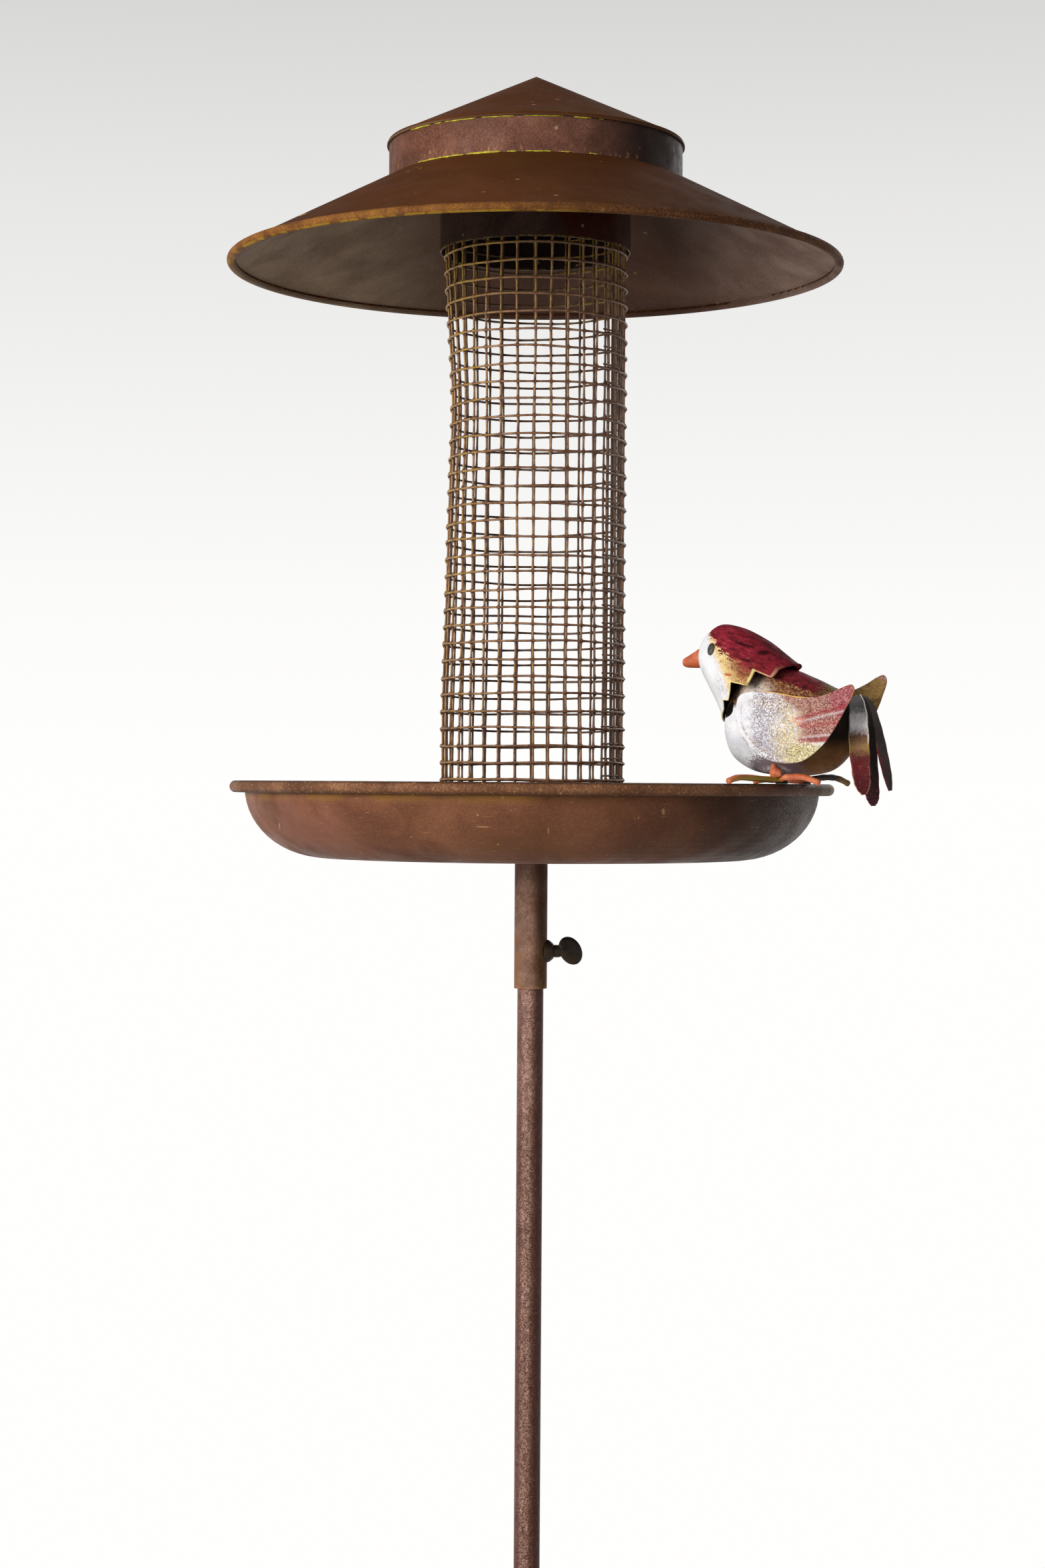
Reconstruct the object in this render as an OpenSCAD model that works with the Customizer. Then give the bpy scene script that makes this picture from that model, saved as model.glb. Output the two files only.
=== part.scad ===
// Silo bird feeder on a garden stake: a round tray with a tube of wire mesh that holds the
// seed, a lift-off roof like a farm silo's, and a painted tin bird on the tray's rim.
// The origin is at soil level on the axis of the pole, +Z is up and the bird is on the +X side.

/* [Ground stake] */
// Diameter of the solid spike that goes into the soil
spike_d = 9; // [8:0.5:9.5]
// Length of the round part of the spike below the soil
spike_len = 110; // [80:5:200]
// Length of the spike's point
spike_point = 30; // [15:1:50]
// How far the spike is pressed up into the lower pole
spike_stub = 50; // [20:1:80]
// Diameter of the side prongs
prong_d = 6; // [4:0.5:8]
// Distance of each side prong from the pole's axis
prong_reach = 45; // [30:1:80]
// Height of the prongs' step above the soil
prong_step_h = 16; // [8:1:40]
// Depth of the prongs in the soil
prong_depth = 94; // [60:2:160]
// Length of the prongs' points
prong_point = 16; // [8:1:30]
// Inner bend radius of the prongs, at the wire's centre
prong_bend = 12; // [8:1:20]

/* [Pole] */
// Outer diameter of the pole's tubes
pole_d = 9.8; // [9.6:0.1:11]
// Wall of the pole's tubes
pole_wall = 1; // [0.8:0.1:1.4]
// Length of the lower pole, from the soil up
lower_pole_len = 170; // [150:10:500]
// Length of the upper pole
upper_pole_len = 310; // [260:10:600]
// Length of the joining pin in each tube
joint_pin_len = 40; // [20:1:60]
// Running clearance, on the radius, between the joining pin and the upper pole
joint_clearance = 0.06; // [0.02:0.01:0.1]

/* [Socket and thumb screw] */
// Outer diameter of the socket tube under the tray
socket_d = 12.4; // [12:0.1:14]
// Wall of the socket tube
socket_wall = 0.9; // [0.6:0.1:1]
// Length of the socket tube
socket_len = 49; // [30:1:70]
// Height of the thumb screw above the socket's lower end
screw_h = 14; // [8:1:22]
// Diameter of the thumb screw's shank
screw_d = 4.7; // [4:0.1:5]
// Clearance, on the radius, between the shank and its nut
screw_clearance = 0.05; // [0.02:0.01:0.1]
// Width of the welded nut across its flats
nut_flats = 8; // [7:0.1:9]
// How far the nut's face stands out from the socket's surface
nut_out = 2.4; // [1.6:0.1:4]
// How far the shank shows between the nut and the thumb plate
shank_show = 2.1; // [1:0.1:4]
// Length of the thumb plate
thumb_len = 9; // [7:0.5:14]
// Width of the thumb plate
thumb_w = 10.4; // [8:0.2:14]
// Thickness of the thumb plate
thumb_t = 2; // [1.4:0.1:3]
// Turn of the thumb plate about the screw's axis
thumb_turn = 35; // [0:1:90]

/* [Tray] */
// Diameter of the tray over its rolled rim
tray_d = 227; // [200:1:260]
// Height of the tray, from its underside to the top of the rim
tray_h = 28.6; // [22:0.2:40]
// Diameter of the flat bottom
tray_floor_d = 156; // [120:1:170]
// Thickness of the tray's sheet
tray_sheet = 0.8; // [0.6:0.1:1.2]
// Height of the rolled rim
rim_roll_h = 4.4; // [3:0.1:6]
// Width of the rolled rim
rim_roll_w = 6; // [5:0.1:8]

/* [Silo mesh] */
// Diameter of the mesh tube over its hoops
mesh_d = 70.2; // [60:0.1:80]
// Thickness of the mesh wires
wire_d = 0.95; // [0.7:0.05:1.4]
// Number of upright wires
upright_count = 34; // [24:1:40]
// Spacing of the hoops
hoop_pitch = 6.35; // [5:0.05:10]
// Height of the mesh above the tray's rim
mesh_above_rim = 234; // [180:1:260]
// Height of the foot ring that the mesh stands round
foot_ring_h = 8; // [4:0.5:12]
// Sheet thickness of the foot ring
foot_ring_sheet = 0.8; // [0.6:0.1:1.2]

/* [Roof] */
// Diameter of the roof over its rolled rim
roof_d = 231.6; // [200:0.2:260]
// Thickness of the roof's rolled rim
roof_roll_d = 3.2; // [2.8:0.1:5]
// Slope of the brim in degrees
brim_slope = 27.4; // [20:0.2:34]
// Thickness of the roof's sheet
roof_sheet = 0.8; // [0.6:0.1:1.2]
// Diameter of the hole in the top of the brim
brim_hole_d = 60; // [40:1:66]
// Outer diameter of the crown band
crown_d = 110.6; // [90:0.2:130]
// Height of the crown band
crown_h = 13.6; // [8:0.2:24]
// Slope of the cap in degrees
cap_slope = 25; // [16:0.5:34]
// How far the cap's lip laps down over the band
cap_lap = 0.6; // [0.3:0.1:1.5]
// Radial clearance between the sleeve and the mesh
sleeve_clearance = 0.3; // [0.3:0.05:0.8]
// Wall of the sleeve
sleeve_wall = 0.5; // [0.4:0.1:1]
// How far the sleeve reaches down over the mesh
sleeve_h = 35.6; // [20:1:60]
// Gap left between pieces that rest on each other
rest_gap = 0.2; // [0.1:0.05:0.4]

/* [Bird] */
// Where the bird stands on the rim, in degrees from +X
perch_angle = -35; // [-60:1:60]
// Which way the bird is turned, in degrees from facing -X
bird_turn = -22; // [-60:1:60]
// Thickness of the bird's tin
bird_tin = 0.7; // [0.5:0.1:1]
// Thickness of the wire feet
foot_wire_d = 2.2; // [1.6:0.1:3]
// Height of the black pads beside the feet
foot_pad_h = 1.2; // [0.4:0.1:2]
// Diameter of the black pads beside the feet
foot_pad_d = 4.4; // [3:0.1:6]

/* [Hidden] */
$fn = 96;

// Levels above the soil
pole_joint_z = lower_pole_len;
upper_pole_z = pole_joint_z + rest_gap;
tray_under_z = upper_pole_z + upper_pole_len + rest_gap;
tray_floor_z = tray_under_z + tray_sheet;
rim_top_z = tray_under_z + tray_h;
rim_mid_z = rim_top_z - rim_roll_h / 2;
mesh_top_z = rim_top_z + mesh_above_rim;
screw_z = tray_under_z - socket_len + screw_h;

// The pole and the socket
pole_bore = pole_d - 2 * pole_wall;
socket_bore = socket_d - 2 * socket_wall;
// The thumb screw's tip stops this far short of the pole's surface
tip_gap = 0.3;
nut_face_x = socket_d / 2 + nut_out;
plate_x = nut_face_x + shank_show;
// The nut reaches this far into the round of the socket, where it is coped to fit
nut_sink = 2;
// Length of the thumb plate's neck
neck_len = 2;
// Width of a prong's tip
prong_tip_d = 0.6;
// The hole for the thumb screw in the socket's wall is this much wider than the shank
socket_hole_play = 0.4;

// The tray's wall is a quarter of an ellipse from under the rim to the flat floor
roll_r = rim_roll_h / 2;
rim_outer_r = tray_d / 2;
roll_out_r = rim_outer_r - roll_r;
roll_in_r = rim_outer_r - rim_roll_w + roll_r;
wall_top_r = rim_outer_r - rim_roll_w + tray_sheet / 2;
floor_r = tray_floor_d / 2;
wall_steps = 14;

// The mesh
hoop_r = mesh_d / 2 - wire_d / 2;
// Welded wires touch within this gap
weld_gap = 0.02;
upright_r = hoop_r - wire_d - weld_gap;
foot_ring_r = upright_r - wire_d / 2 - weld_gap;
mesh_foot_z = tray_floor_z + weld_gap;
hoops_start_z = mesh_foot_z + hoop_pitch / 2;
hoop_count = floor((mesh_top_z - wire_d - hoops_start_z) / hoop_pitch) + 1;
// The hoops are drawn with eight narrow flats round the wire, so that 41 of them stay light
hoop_flats = 8;
// Where the first upright stands, in degrees from +X: almost at the front
upright_phase = 269.9;

// The roof sits on the mesh: the sleeve's closed top rests on the uprights
sleeve_in_r = mesh_d / 2 + sleeve_clearance;
sleeve_out_r = sleeve_in_r + sleeve_wall;
sleeve_top_z = mesh_top_z + rest_gap + roof_sheet;
sleeve_low_z = sleeve_top_z - sleeve_h;
slope_t = tan(brim_slope);
sheet_up = roof_sheet / cos(brim_slope);
// The brim's underside just clears the sleeve's top edge
brim_seat_z = sleeve_top_z + weld_gap + sheet_up;
function brim_top_z(r) = brim_seat_z + (sleeve_out_r - r) * slope_t;
roof_r = roof_d / 2;
roof_roll_r = roof_roll_d / 2;
brim_edge_r = roof_r - roof_roll_r;
// The brim's sheet runs into the roll this far above its centre, as a share of its radius
roll_entry = 0.6;
crown_r = crown_d / 2;
crown_in_r = crown_r - roof_sheet;
crown_top_z = brim_top_z(crown_r) + crown_h;
cap_t = tan(cap_slope);
cap_up = roof_sheet / cos(cap_slope);
cap_r = crown_r + weld_gap + roof_sheet;
cap_edge_z = crown_top_z + weld_gap + cap_up;
// The cap's cone ends this far inside the band, where it bends flat
shoulder = 1.2;

// Smooth curve through the rows of a list, at u from 0 to the last row
function row(list, i) = list[max(0, min(len(list) - 1, i))];
function spline(a, b, c, d, t) =
    0.5 * (2 * b + (c - a) * t + (2 * a - 5 * b + 4 * c - d) * t * t
    + (3 * b - a - 3 * c + d) * t * t * t);
function along(list, u) =
    let (i = min(floor(u), len(list) - 2))
    spline(row(list, i - 1), row(list, i), row(list, i + 1), row(list, i + 2), u - i);

// A closed solid through rings that all have the same number of points
module rings_solid(rings) {
    n = len(rings[0]);
    m = len(rings);
    points = [for (ring = rings) each ring];
    sides = [for (i = [0 : m - 2], j = [0 : n - 1]) each
        let (a = i * n + j, b = i * n + (j + 1) % n)
        [[a, b, b + n], [a, b + n, a + n]]];
    start = [[for (j = [n - 1 : -1 : 0]) j]];
    end = [[for (j = [0 : n - 1]) (m - 1) * n + j]];
    polyhedron(points = points, faces = concat(sides, start, end));
}

// The bird is drawn facing -X with its feet's pads at the origin, then set on the rim
perch_r = (roll_out_r + roll_in_r) / 2;
module on_perch() {
    translate([perch_r * cos(perch_angle), perch_r * sin(perch_angle), rim_top_z + weld_gap])
        rotate([0, 0, bird_turn])
            children();
}

// Each row of the body: place along X, lowest point, highest point, half width
body_rows = [
    [-22, 18, 22, 2.5], [-21.2, 13.5, 27.4, 7], [-18.8, 8.6, 34, 10.8], [-13, 5, 40, 13.6],
    [-5, 3, 42.6, 15], [4, 2.6, 40.2, 15.4], [12, 3.2, 36.8, 14.2], [19, 6.2, 33.6, 11.2],
    [23.5, 11.5, 31, 7.5], [25, 18, 26, 2.5]
];
body_around = 32;
body_steps = 16;
// The inside of the body is drawn in at the ends by the tin over this length
body_reach = 25;
function body_ring(u, shrink) =
    let (s = along(body_rows, u), mid = (s[1] + s[2]) / 2, half = (s[2] - s[1]) / 2 - shrink)
    [for (j = [0 : body_around - 1])
        let (a = 360 * j / body_around)
        [s[0] * (1 - shrink / body_reach), (s[3] - shrink) * sin(a), mid + half * cos(a)]];

// Each row of the hood: its top point's X and Z, its bottom point's X and Z, half width
hood_rows = [
    [-32.6, 46.4, -32.8, 43.4, 1.5], [-31.9, 50.1, -32.1, 41, 4.4], [-29.1, 54, -30.4, 37.6, 7.9],
    [-24, 57, -27.4, 32.4, 10.9], [-16, 55.5, -25, 27.6, 13], [-8, 51.4, -23.9, 25, 14.6],
    [-0.8, 46, -23.4, 23.4, 15.8], [5, 41.5, -23, 22.2, 16.6]
];
// The hood's jagged rear edge: degrees from the top, and which row the edge reaches there
hood_teeth = [
    [0, 7], [9, 6.8], [28, 6.65], [43, 6.6], [58, 6.9], [66, 5.9], [86, 6.3], [98, 5.15],
    [118, 5.95], [126, 5.3], [136, 6.15], [165, 6.7], [180, 7]
];
hood_around = 48;
hood_steps = 9;
// The first ring stands this share of the way back from the face
hood_start = 0.02;
function hood_point(u, a, shrink) =
    let (s = along(hood_rows, u),
        top = [s[0], s[1]], low = [s[2], s[3]], mid = (top + low) / 2,
        up = (top - low) / norm(top - low), half = norm(top - low) / 2 - shrink)
    [mid[0] + up[0] * half * cos(a), (s[4] - shrink) * sin(a), mid[1] + up[1] * half * cos(a)];
function hood_ring(f, shrink) =
    [for (j = [0 : hood_around - 1])
        let (a = 360 * j / hood_around, side = a > 180 ? 360 - a : a)
        hood_point(f * lookup(side, hood_teeth), a, shrink)];

// Each row of a wing's outline: X and Z, from the front of the shoulder over the top
wing_rows = [
    [-14.8, 26], [-13.4, 31], [-7, 32.4], [1, 31.8], [9, 30.4], [16, 30.2], [21.6, 31.8],
    [26, 33.8], [28.6, 34.3], [29.4, 31.8], [27, 26.6], [24.4, 21.8], [21.2, 16.8],
    [17, 12.2], [11, 8.2], [4.6, 7.2], [-2, 8.4], [-7.8, 11.6], [-12.4, 16.6], [-14.6, 21.4]
];
wing_mid = [4, 20.5];
wing_around = 40;
wing_spread = [0.08, 0.35, 0.65, 0.88, 1];
// How far out a wing lies: at its middle, its flare and curve along X, and its bulge across
wing_y = 15.9;
wing_flare = 0.18;
wing_curve = 0.003;
wing_bulge = 1.2;
wing_half_h = 13;
// The right wing's tip is bent up and out more than the left's, by these angles
wing_root = [-12, 13.2, 22];
right_wing_lift = 7;
right_wing_flare = 6;
right_wing_shift = [2.6, 0.9, 0];
function wing_out(x, z) =
    wing_y + wing_flare * x - wing_curve * x * x
    + wing_bulge * (1 - pow((z - wing_mid[1]) / wing_half_h, 2));
function wing_ring(f, side) =
    [for (j = [0 : wing_around - 1])
        let (u = len(wing_rows) * j / wing_around, i = floor(u), n = len(wing_rows),
            p = spline(wing_rows[(i + n - 1) % n], wing_rows[i % n], wing_rows[(i + 1) % n],
                wing_rows[(i + 2) % n], u - i),
            q = wing_mid + f * (p - wing_mid))
        [q[0], wing_out(q[0], q[1]) + side * bird_tin / 2, q[1]]];

// Each row of a tail strip: its centre line's X, Y and Z, and its half width there
tail_left_rows = [
    [24.4, -2.6, 30.7, 1.6], [26.2, -4.6, 30, 2.3], [27.6, -6.6, 24.6, 3.2], [28.2, -7, 14, 3.5],
    [29, -7, 4, 3.1], [29.7, -7, 0, 2.4], [30.2, -7, -2.6, 0.8]
];
tail_middle_rows = [
    [25, 0, 30.2, 1.5], [26.9, 0.6, 28.4, 2.1], [28.8, 1.4, 20, 2.6], [29.8, 1.8, 8, 2.7],
    [30.5, 2, -1.6, 2.4], [30.9, 2, -4.8, 1.8], [31, 2, -6.6, 0.6]
];
tail_right_rows = [
    [24.6, 2.8, 30.2, 1.4], [27, 4.6, 29.4, 1.7], [28.8, 6, 26, 1.9], [31, 7, 18.6, 2],
    [33.2, 8, 9.6, 1.9], [35.2, 8.5, 3.2, 1.6], [36.5, 8.8, -1.2, 0.6]
];
tail_steps = 16;
// The strips turn their flat sides outward by these angles, twist a little on their way down
// and are slightly hollow across
tail_turns = [-12, 25, 75];
tail_twist = 1.5;
tail_hollow = 0.25;
tail_eps = 0.05;
function tail_ring(rows, u, turn) =
    let (s = along(rows, u), last = len(rows) - 1,
        ahead = along(rows, min(last, u + tail_eps)), behind = along(rows, max(0, u - tail_eps)),
        step = [ahead[0] - behind[0], ahead[1] - behind[1], ahead[2] - behind[2]],
        run = step / norm(step), t = turn + tail_twist * u, flat = [cos(t), sin(t), 0],
        side = flat - (flat * run) * run, across = side / norm(side), out = cross(across, run),
        c = [s[0], s[1], s[2]], w = s[3] * across, thin = out * bird_tin / 2,
        m = c + out * tail_hollow)
    [c + w - thin, c + w + thin, m + thin, c - w + thin, c - w - thin, m - thin];
module tail_strip(rows, turn) {
    last = len(rows) - 1;
    rings_solid([for (i = [0 : tail_steps]) tail_ring(rows, last * i / tail_steps, turn)]);
}

// The beak: a flattened ball at its root and a small ball at its tip
beak_root = [-33.1, 0, 45.1];
beak_root_d = 7;
beak_flat = [0.25, 0.8, 1];
beak_tip = [-38, 0, 43.2];
beak_tip_d = 2.6;

// Each eye is two balls, one over the other
eye = [-26, 9.5, 47.3];
eye_d = 2.4;
eye_lift = 0.7;

// The feet: two bent wires, each with a leg up to the belly, from toe to toe.
// The near foot's front toe follows the rim and its rear toe points off it.
// The wire is this much thicker at its bends and thinner at its legs
bend_swell = 0.2;
foot_z = (foot_wire_d + bend_swell) / 2 + weld_gap;
foot_legs = [[-2.2, -8.5], [2, 11.1]];
foot_pads = [[-0.6, -4.6], [2, 15.4]];
left_toes = [[-11.4, -33.2, foot_z - 0.3], [-8.4, -27.4, foot_z + 0.4], [-2.2, -8.5, foot_z],
    [2.4, -8.8, foot_z + 1.1], [8.3, -8.6, foot_z + 1.2], [14.6, -8.6, foot_z - 0.9]];
right_toes = [[-15.5, 10.4, foot_z - 0.6], [-10.9, 9.5, foot_z + 0.3], [2, 11.1, foot_z],
    [8.6, 14.7, foot_z + 1.1], [13.2, 18.1, foot_z + 0.9], [17, 20.8, foot_z - 1.2]];
leg_top_z = 8.4;
module wire_through(points, d) {
    for (i = [0 : len(points) - 2]) {
        a = points[i];
        b = points[i + 1];
        run = b - a;
        long = norm(run);
        translate(a)
            rotate([0, acos(run[2] / long), atan2(run[1], run[0])])
                cylinder(d = d, h = long, $fn = 24);
        if (i > 0)
            translate(a)
                rotate([0, acos(run[2] / long), atan2(run[1], run[0])])
                    sphere(d = d + bend_swell, $fn = 24);
    }
}

module ground_spike() {
    color([0.36, 0.29, 0.26])
        rotate_extrude()
            polygon([[0, -spike_len - spike_point], [spike_d / 2, -spike_len], [spike_d / 2, 0],
                [pole_bore / 2, 0], [pole_bore / 2, spike_stub], [0, spike_stub]]);
}

// One prong: a round bar from the pole's side, bent down into a pointed leg
module prong() {
    bar_len = prong_reach - prong_bend;
    translate([0, 0, prong_step_h])
        rotate([0, 90, 0])
            cylinder(d = prong_d, h = bar_len);
    translate([bar_len, 0, prong_step_h - prong_bend])
        rotate([90, 0, 0])
            rotate_extrude(angle = 90)
                translate([prong_bend, 0])
                    circle(d = prong_d, $fn = 48);
    translate([prong_reach, 0, -prong_depth])
        cylinder(d = prong_d, h = prong_depth + prong_step_h - prong_bend);
    translate([prong_reach, 0, -prong_depth - prong_point])
        cylinder(d1 = prong_tip_d, d2 = prong_d, h = prong_point);
}

module ground_prongs() {
    color([0.36, 0.29, 0.26])
        difference() {
            union() {
                prong();
                mirror([1, 0, 0])
                    prong();
            }
            translate([0, 0, -1])
                cylinder(d = pole_d + 2 * weld_gap, h = 2 * prong_step_h + 2);
        }
}

module pole_lower() {
    color([0.37, 0.27, 0.24])
        difference() {
            cylinder(d = pole_d, h = lower_pole_len);
            translate([0, 0, -1])
                cylinder(d = pole_bore, h = lower_pole_len + 2);
        }
}

module joining_pin() {
    color([0.5, 0.5, 0.5])
        translate([0, 0, pole_joint_z - joint_pin_len]) {
            cylinder(d = pole_bore, h = joint_pin_len);
            cylinder(d = pole_bore - 2 * joint_clearance, h = 2 * joint_pin_len);
        }
}

module pole_upper() {
    color([0.37, 0.27, 0.24])
        translate([0, 0, upper_pole_z])
            difference() {
                cylinder(d = pole_d, h = upper_pole_len);
                translate([0, 0, -1])
                    cylinder(d = pole_bore, h = upper_pole_len + 2);
            }
}

module socket_tube() {
    color([0.43, 0.3, 0.25])
        difference() {
            translate([0, 0, tray_under_z - socket_len])
                cylinder(d = socket_d, h = socket_len);
            translate([0, 0, tray_under_z - socket_len - 1])
                cylinder(d = socket_bore, h = socket_len + 2);
            translate([0, 0, screw_z])
                rotate([0, 90, 0])
                    cylinder(d = screw_d + socket_hole_play, h = socket_d);
        }
}

module weld_nut() {
    color([0.24, 0.18, 0.15])
        difference() {
            translate([socket_d / 2 - nut_sink, 0, screw_z])
                rotate([0, 90, 0])
                    cylinder(d = nut_flats / cos(30), h = nut_sink + nut_out, $fn = 6);
            translate([0, 0, screw_z - nut_flats])
                cylinder(d = socket_d + 2 * weld_gap, h = 2 * nut_flats);
            translate([0, 0, screw_z])
                rotate([0, 90, 0])
                    cylinder(d = screw_d + 2 * screw_clearance, h = nut_face_x + 1);
        }
}

module thumb_screw_shank() {
    tip_x = pole_d / 2 + tip_gap;
    color([0.16, 0.14, 0.1])
        translate([tip_x, 0, screw_z])
            rotate([0, 90, 0])
                cylinder(d = screw_d, h = plate_x - tip_x);
}

// An oval plate on a short neck that meets the shank's end
module thumb_screw_plate() {
    color([0.16, 0.14, 0.1])
        translate([plate_x + weld_gap, 0, screw_z])
            rotate([thumb_turn, 0, 0]) {
                rotate([0, 90, 0])
                    cylinder(d = screw_d, h = neck_len);
                translate([thumb_len / 2 + neck_len / 2, 0, 0])
                    rotate([90, 0, 0])
                        translate([0, 0, -thumb_t / 2])
                            linear_extrude(thumb_t)
                                intersection() {
                                    circle(d = thumb_w);
                                    square([thumb_len - neck_len / 2, thumb_w], center = true);
                                }
            }
}

// Profile of the tray: floor, curved wall and the solid roll of the rim
module tray() {
    drop = rim_mid_z - tray_under_z;
    outer = [for (i = [0 : wall_steps])
        let (a = 90 * i / wall_steps)
        [floor_r + (wall_top_r - floor_r) * sin(a), rim_mid_z - drop * cos(a)]];
    inner = [for (i = [wall_steps : -1 : 0])
        let (a = 90 * i / wall_steps)
        [floor_r + (wall_top_r - tray_sheet - floor_r) * sin(a),
            rim_mid_z - (drop - tray_sheet) * cos(a)]];
    color([0.42, 0.25, 0.16])
        rotate_extrude($fn = 180)
            union() {
                polygon(concat([[0, tray_under_z]], outer, inner, [[0, tray_floor_z]]));
                translate([roll_out_r, rim_mid_z])
                    circle(r = roll_r, $fn = 48);
                translate([roll_in_r, rim_mid_z])
                    circle(r = roll_r, $fn = 48);
                translate([roll_in_r, rim_mid_z - roll_r])
                    square([roll_out_r - roll_in_r, rim_roll_h]);
            }
}

module silo_foot_ring() {
    color([0.36, 0.24, 0.17])
        translate([0, 0, mesh_foot_z])
            difference() {
                cylinder(r = foot_ring_r, h = foot_ring_h);
                translate([0, 0, -1])
                    cylinder(r = foot_ring_r - foot_ring_sheet, h = foot_ring_h + 2);
            }
}

module mesh_uprights() {
    color([0.46, 0.36, 0.24])
        for (i = [0 : upright_count - 1])
            rotate([0, 0, upright_phase + 360 * i / upright_count])
                translate([upright_r, 0, mesh_foot_z])
                    cylinder(d = wire_d, h = mesh_top_z - mesh_foot_z, $fn = 24);
}

module mesh_hoops() {
    color([0.46, 0.36, 0.24])
        for (i = [0 : hoop_count - 1])
            translate([0, 0, hoops_start_z + i * hoop_pitch])
                rotate_extrude()
                    translate([hoop_r, 0])
                        circle(d = wire_d, $fn = hoop_flats);
}

// A cup turned over: the closed top rests on the mesh and is welded under the brim
module roof_sleeve() {
    color([0.26, 0.16, 0.14])
        difference() {
            translate([0, 0, sleeve_low_z])
                cylinder(r = sleeve_out_r, h = sleeve_h);
            translate([0, 0, sleeve_low_z - 1])
                cylinder(r = sleeve_in_r, h = sleeve_h + 1 - roof_sheet);
        }
}

module roof_brim() {
    hole_r = brim_hole_d / 2;
    roll_z = brim_top_z(brim_edge_r) - roll_entry * roof_roll_r;
    color([0.35, 0.21, 0.14])
        union() {
            rotate_extrude($fn = 180)
                polygon([[hole_r, brim_top_z(hole_r)], [brim_edge_r, brim_top_z(brim_edge_r)],
                    [brim_edge_r, brim_top_z(brim_edge_r) - sheet_up],
                    [hole_r, brim_top_z(hole_r) - sheet_up]]);
            translate([0, 0, roll_z])
                rotate_extrude($fn = 180)
                    translate([brim_edge_r, 0])
                        circle(r = roof_roll_r, $fn = 48);
        }
}

// The band's foot is cut to the slope of the brim
module crown_band() {
    color([0.4, 0.28, 0.24])
        rotate_extrude($fn = 180)
            polygon([[crown_r, brim_top_z(crown_r) + weld_gap],
                [crown_r, crown_top_z], [crown_in_r, crown_top_z],
                [crown_in_r, brim_top_z(crown_in_r) + weld_gap]]);
}

module crown_cap() {
    lip_z = crown_top_z - cap_lap;
    under_z = crown_top_z + weld_gap;
    color([0.33, 0.2, 0.12])
        rotate_extrude($fn = 180)
            polygon([[0, cap_edge_z + crown_r * cap_t], [crown_r - shoulder, cap_edge_z + shoulder * cap_t],
                [crown_r + roof_sheet / 2, cap_edge_z], [cap_r, cap_edge_z - roof_sheet], [cap_r, lip_z],
                [crown_r + weld_gap, lip_z], [crown_r + weld_gap, under_z],
                [crown_r - shoulder, under_z], [0, cap_edge_z + crown_r * cap_t - cap_up]]);
}

module bird_body() {
    last = len(body_rows) - 1;
    color([0.72, 0.66, 0.66])
        on_perch()
            difference() {
                rings_solid([for (i = [0 : body_steps]) body_ring(last * i / body_steps, 0)]);
                rings_solid([for (i = [1 : body_steps - 1]) body_ring(last * i / body_steps, bird_tin)]);
            }
}

module bird_hood() {
    back = [for (i = [0 : hood_steps]) hood_start + (1 - hood_start) * i / hood_steps];
    outer = [for (i = [0 : hood_steps]) hood_ring(back[i], 0)];
    inner = [for (i = [hood_steps : -1 : 1]) hood_ring(back[i], bird_tin)];
    color([0.6, 0.12, 0.16])
        on_perch()
            rings_solid(concat(outer, inner));
}

module bird_beak() {
    color([0.85, 0.42, 0.22])
        on_perch()
            hull() {
                translate(beak_root)
                    scale(beak_flat)
                        sphere(d = beak_root_d, $fn = 24);
                translate(beak_tip)
                    sphere(d = beak_tip_d, $fn = 16);
            }
}

module bird_eyes() {
    color([0.08, 0.08, 0.07])
        on_perch()
            for (side = [-1, 1])
                for (lift = [-eye_lift, eye_lift])
                    translate([eye[0], side * eye[1], eye[2] + lift])
                        sphere(d = eye_d, $fn = 24);
}

module bird_wing() {
    last = len(wing_spread) - 1;
    rings_solid(concat([for (i = [0 : last]) wing_ring(wing_spread[i], 1)],
        [for (i = [last : -1 : 0]) wing_ring(wing_spread[i], -1)]));
}

module bird_wing_left() {
    color([0.8, 0.7, 0.66])
        on_perch()
            mirror([0, 1, 0])
                bird_wing();
}

module bird_wing_right() {
    color([0.55, 0.42, 0.25])
        on_perch()
            translate(wing_root + right_wing_shift)
                rotate([0, -right_wing_lift, right_wing_flare])
                    translate(-wing_root)
                        bird_wing();
}

module bird_tail_left() {
    color([0.5, 0.42, 0.42])
        on_perch()
            tail_strip(tail_left_rows, tail_turns[0]);
}

module bird_tail_middle() {
    color([0.24, 0.12, 0.12])
        on_perch()
            tail_strip(tail_middle_rows, tail_turns[1]);
}

module bird_tail_right() {
    color([0.34, 0.3, 0.28])
        on_perch()
            tail_strip(tail_right_rows, tail_turns[2]);
}

module bird_feet() {
    color([0.82, 0.42, 0.26])
        on_perch() {
            wire_through(left_toes, foot_wire_d);
            wire_through(right_toes, foot_wire_d);
            for (leg = foot_legs)
                translate([leg[0], leg[1], foot_z])
                    cylinder(d = foot_wire_d - bend_swell, h = leg_top_z - foot_z, $fn = 24);
        }
}

module bird_foot_pads() {
    color([0.05, 0.05, 0.05])
        on_perch()
            for (pad = foot_pads)
                translate([pad[0], pad[1], 0])
                    cylinder(d = foot_pad_d, h = foot_pad_h - weld_gap, $fn = 32);
}

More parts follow.
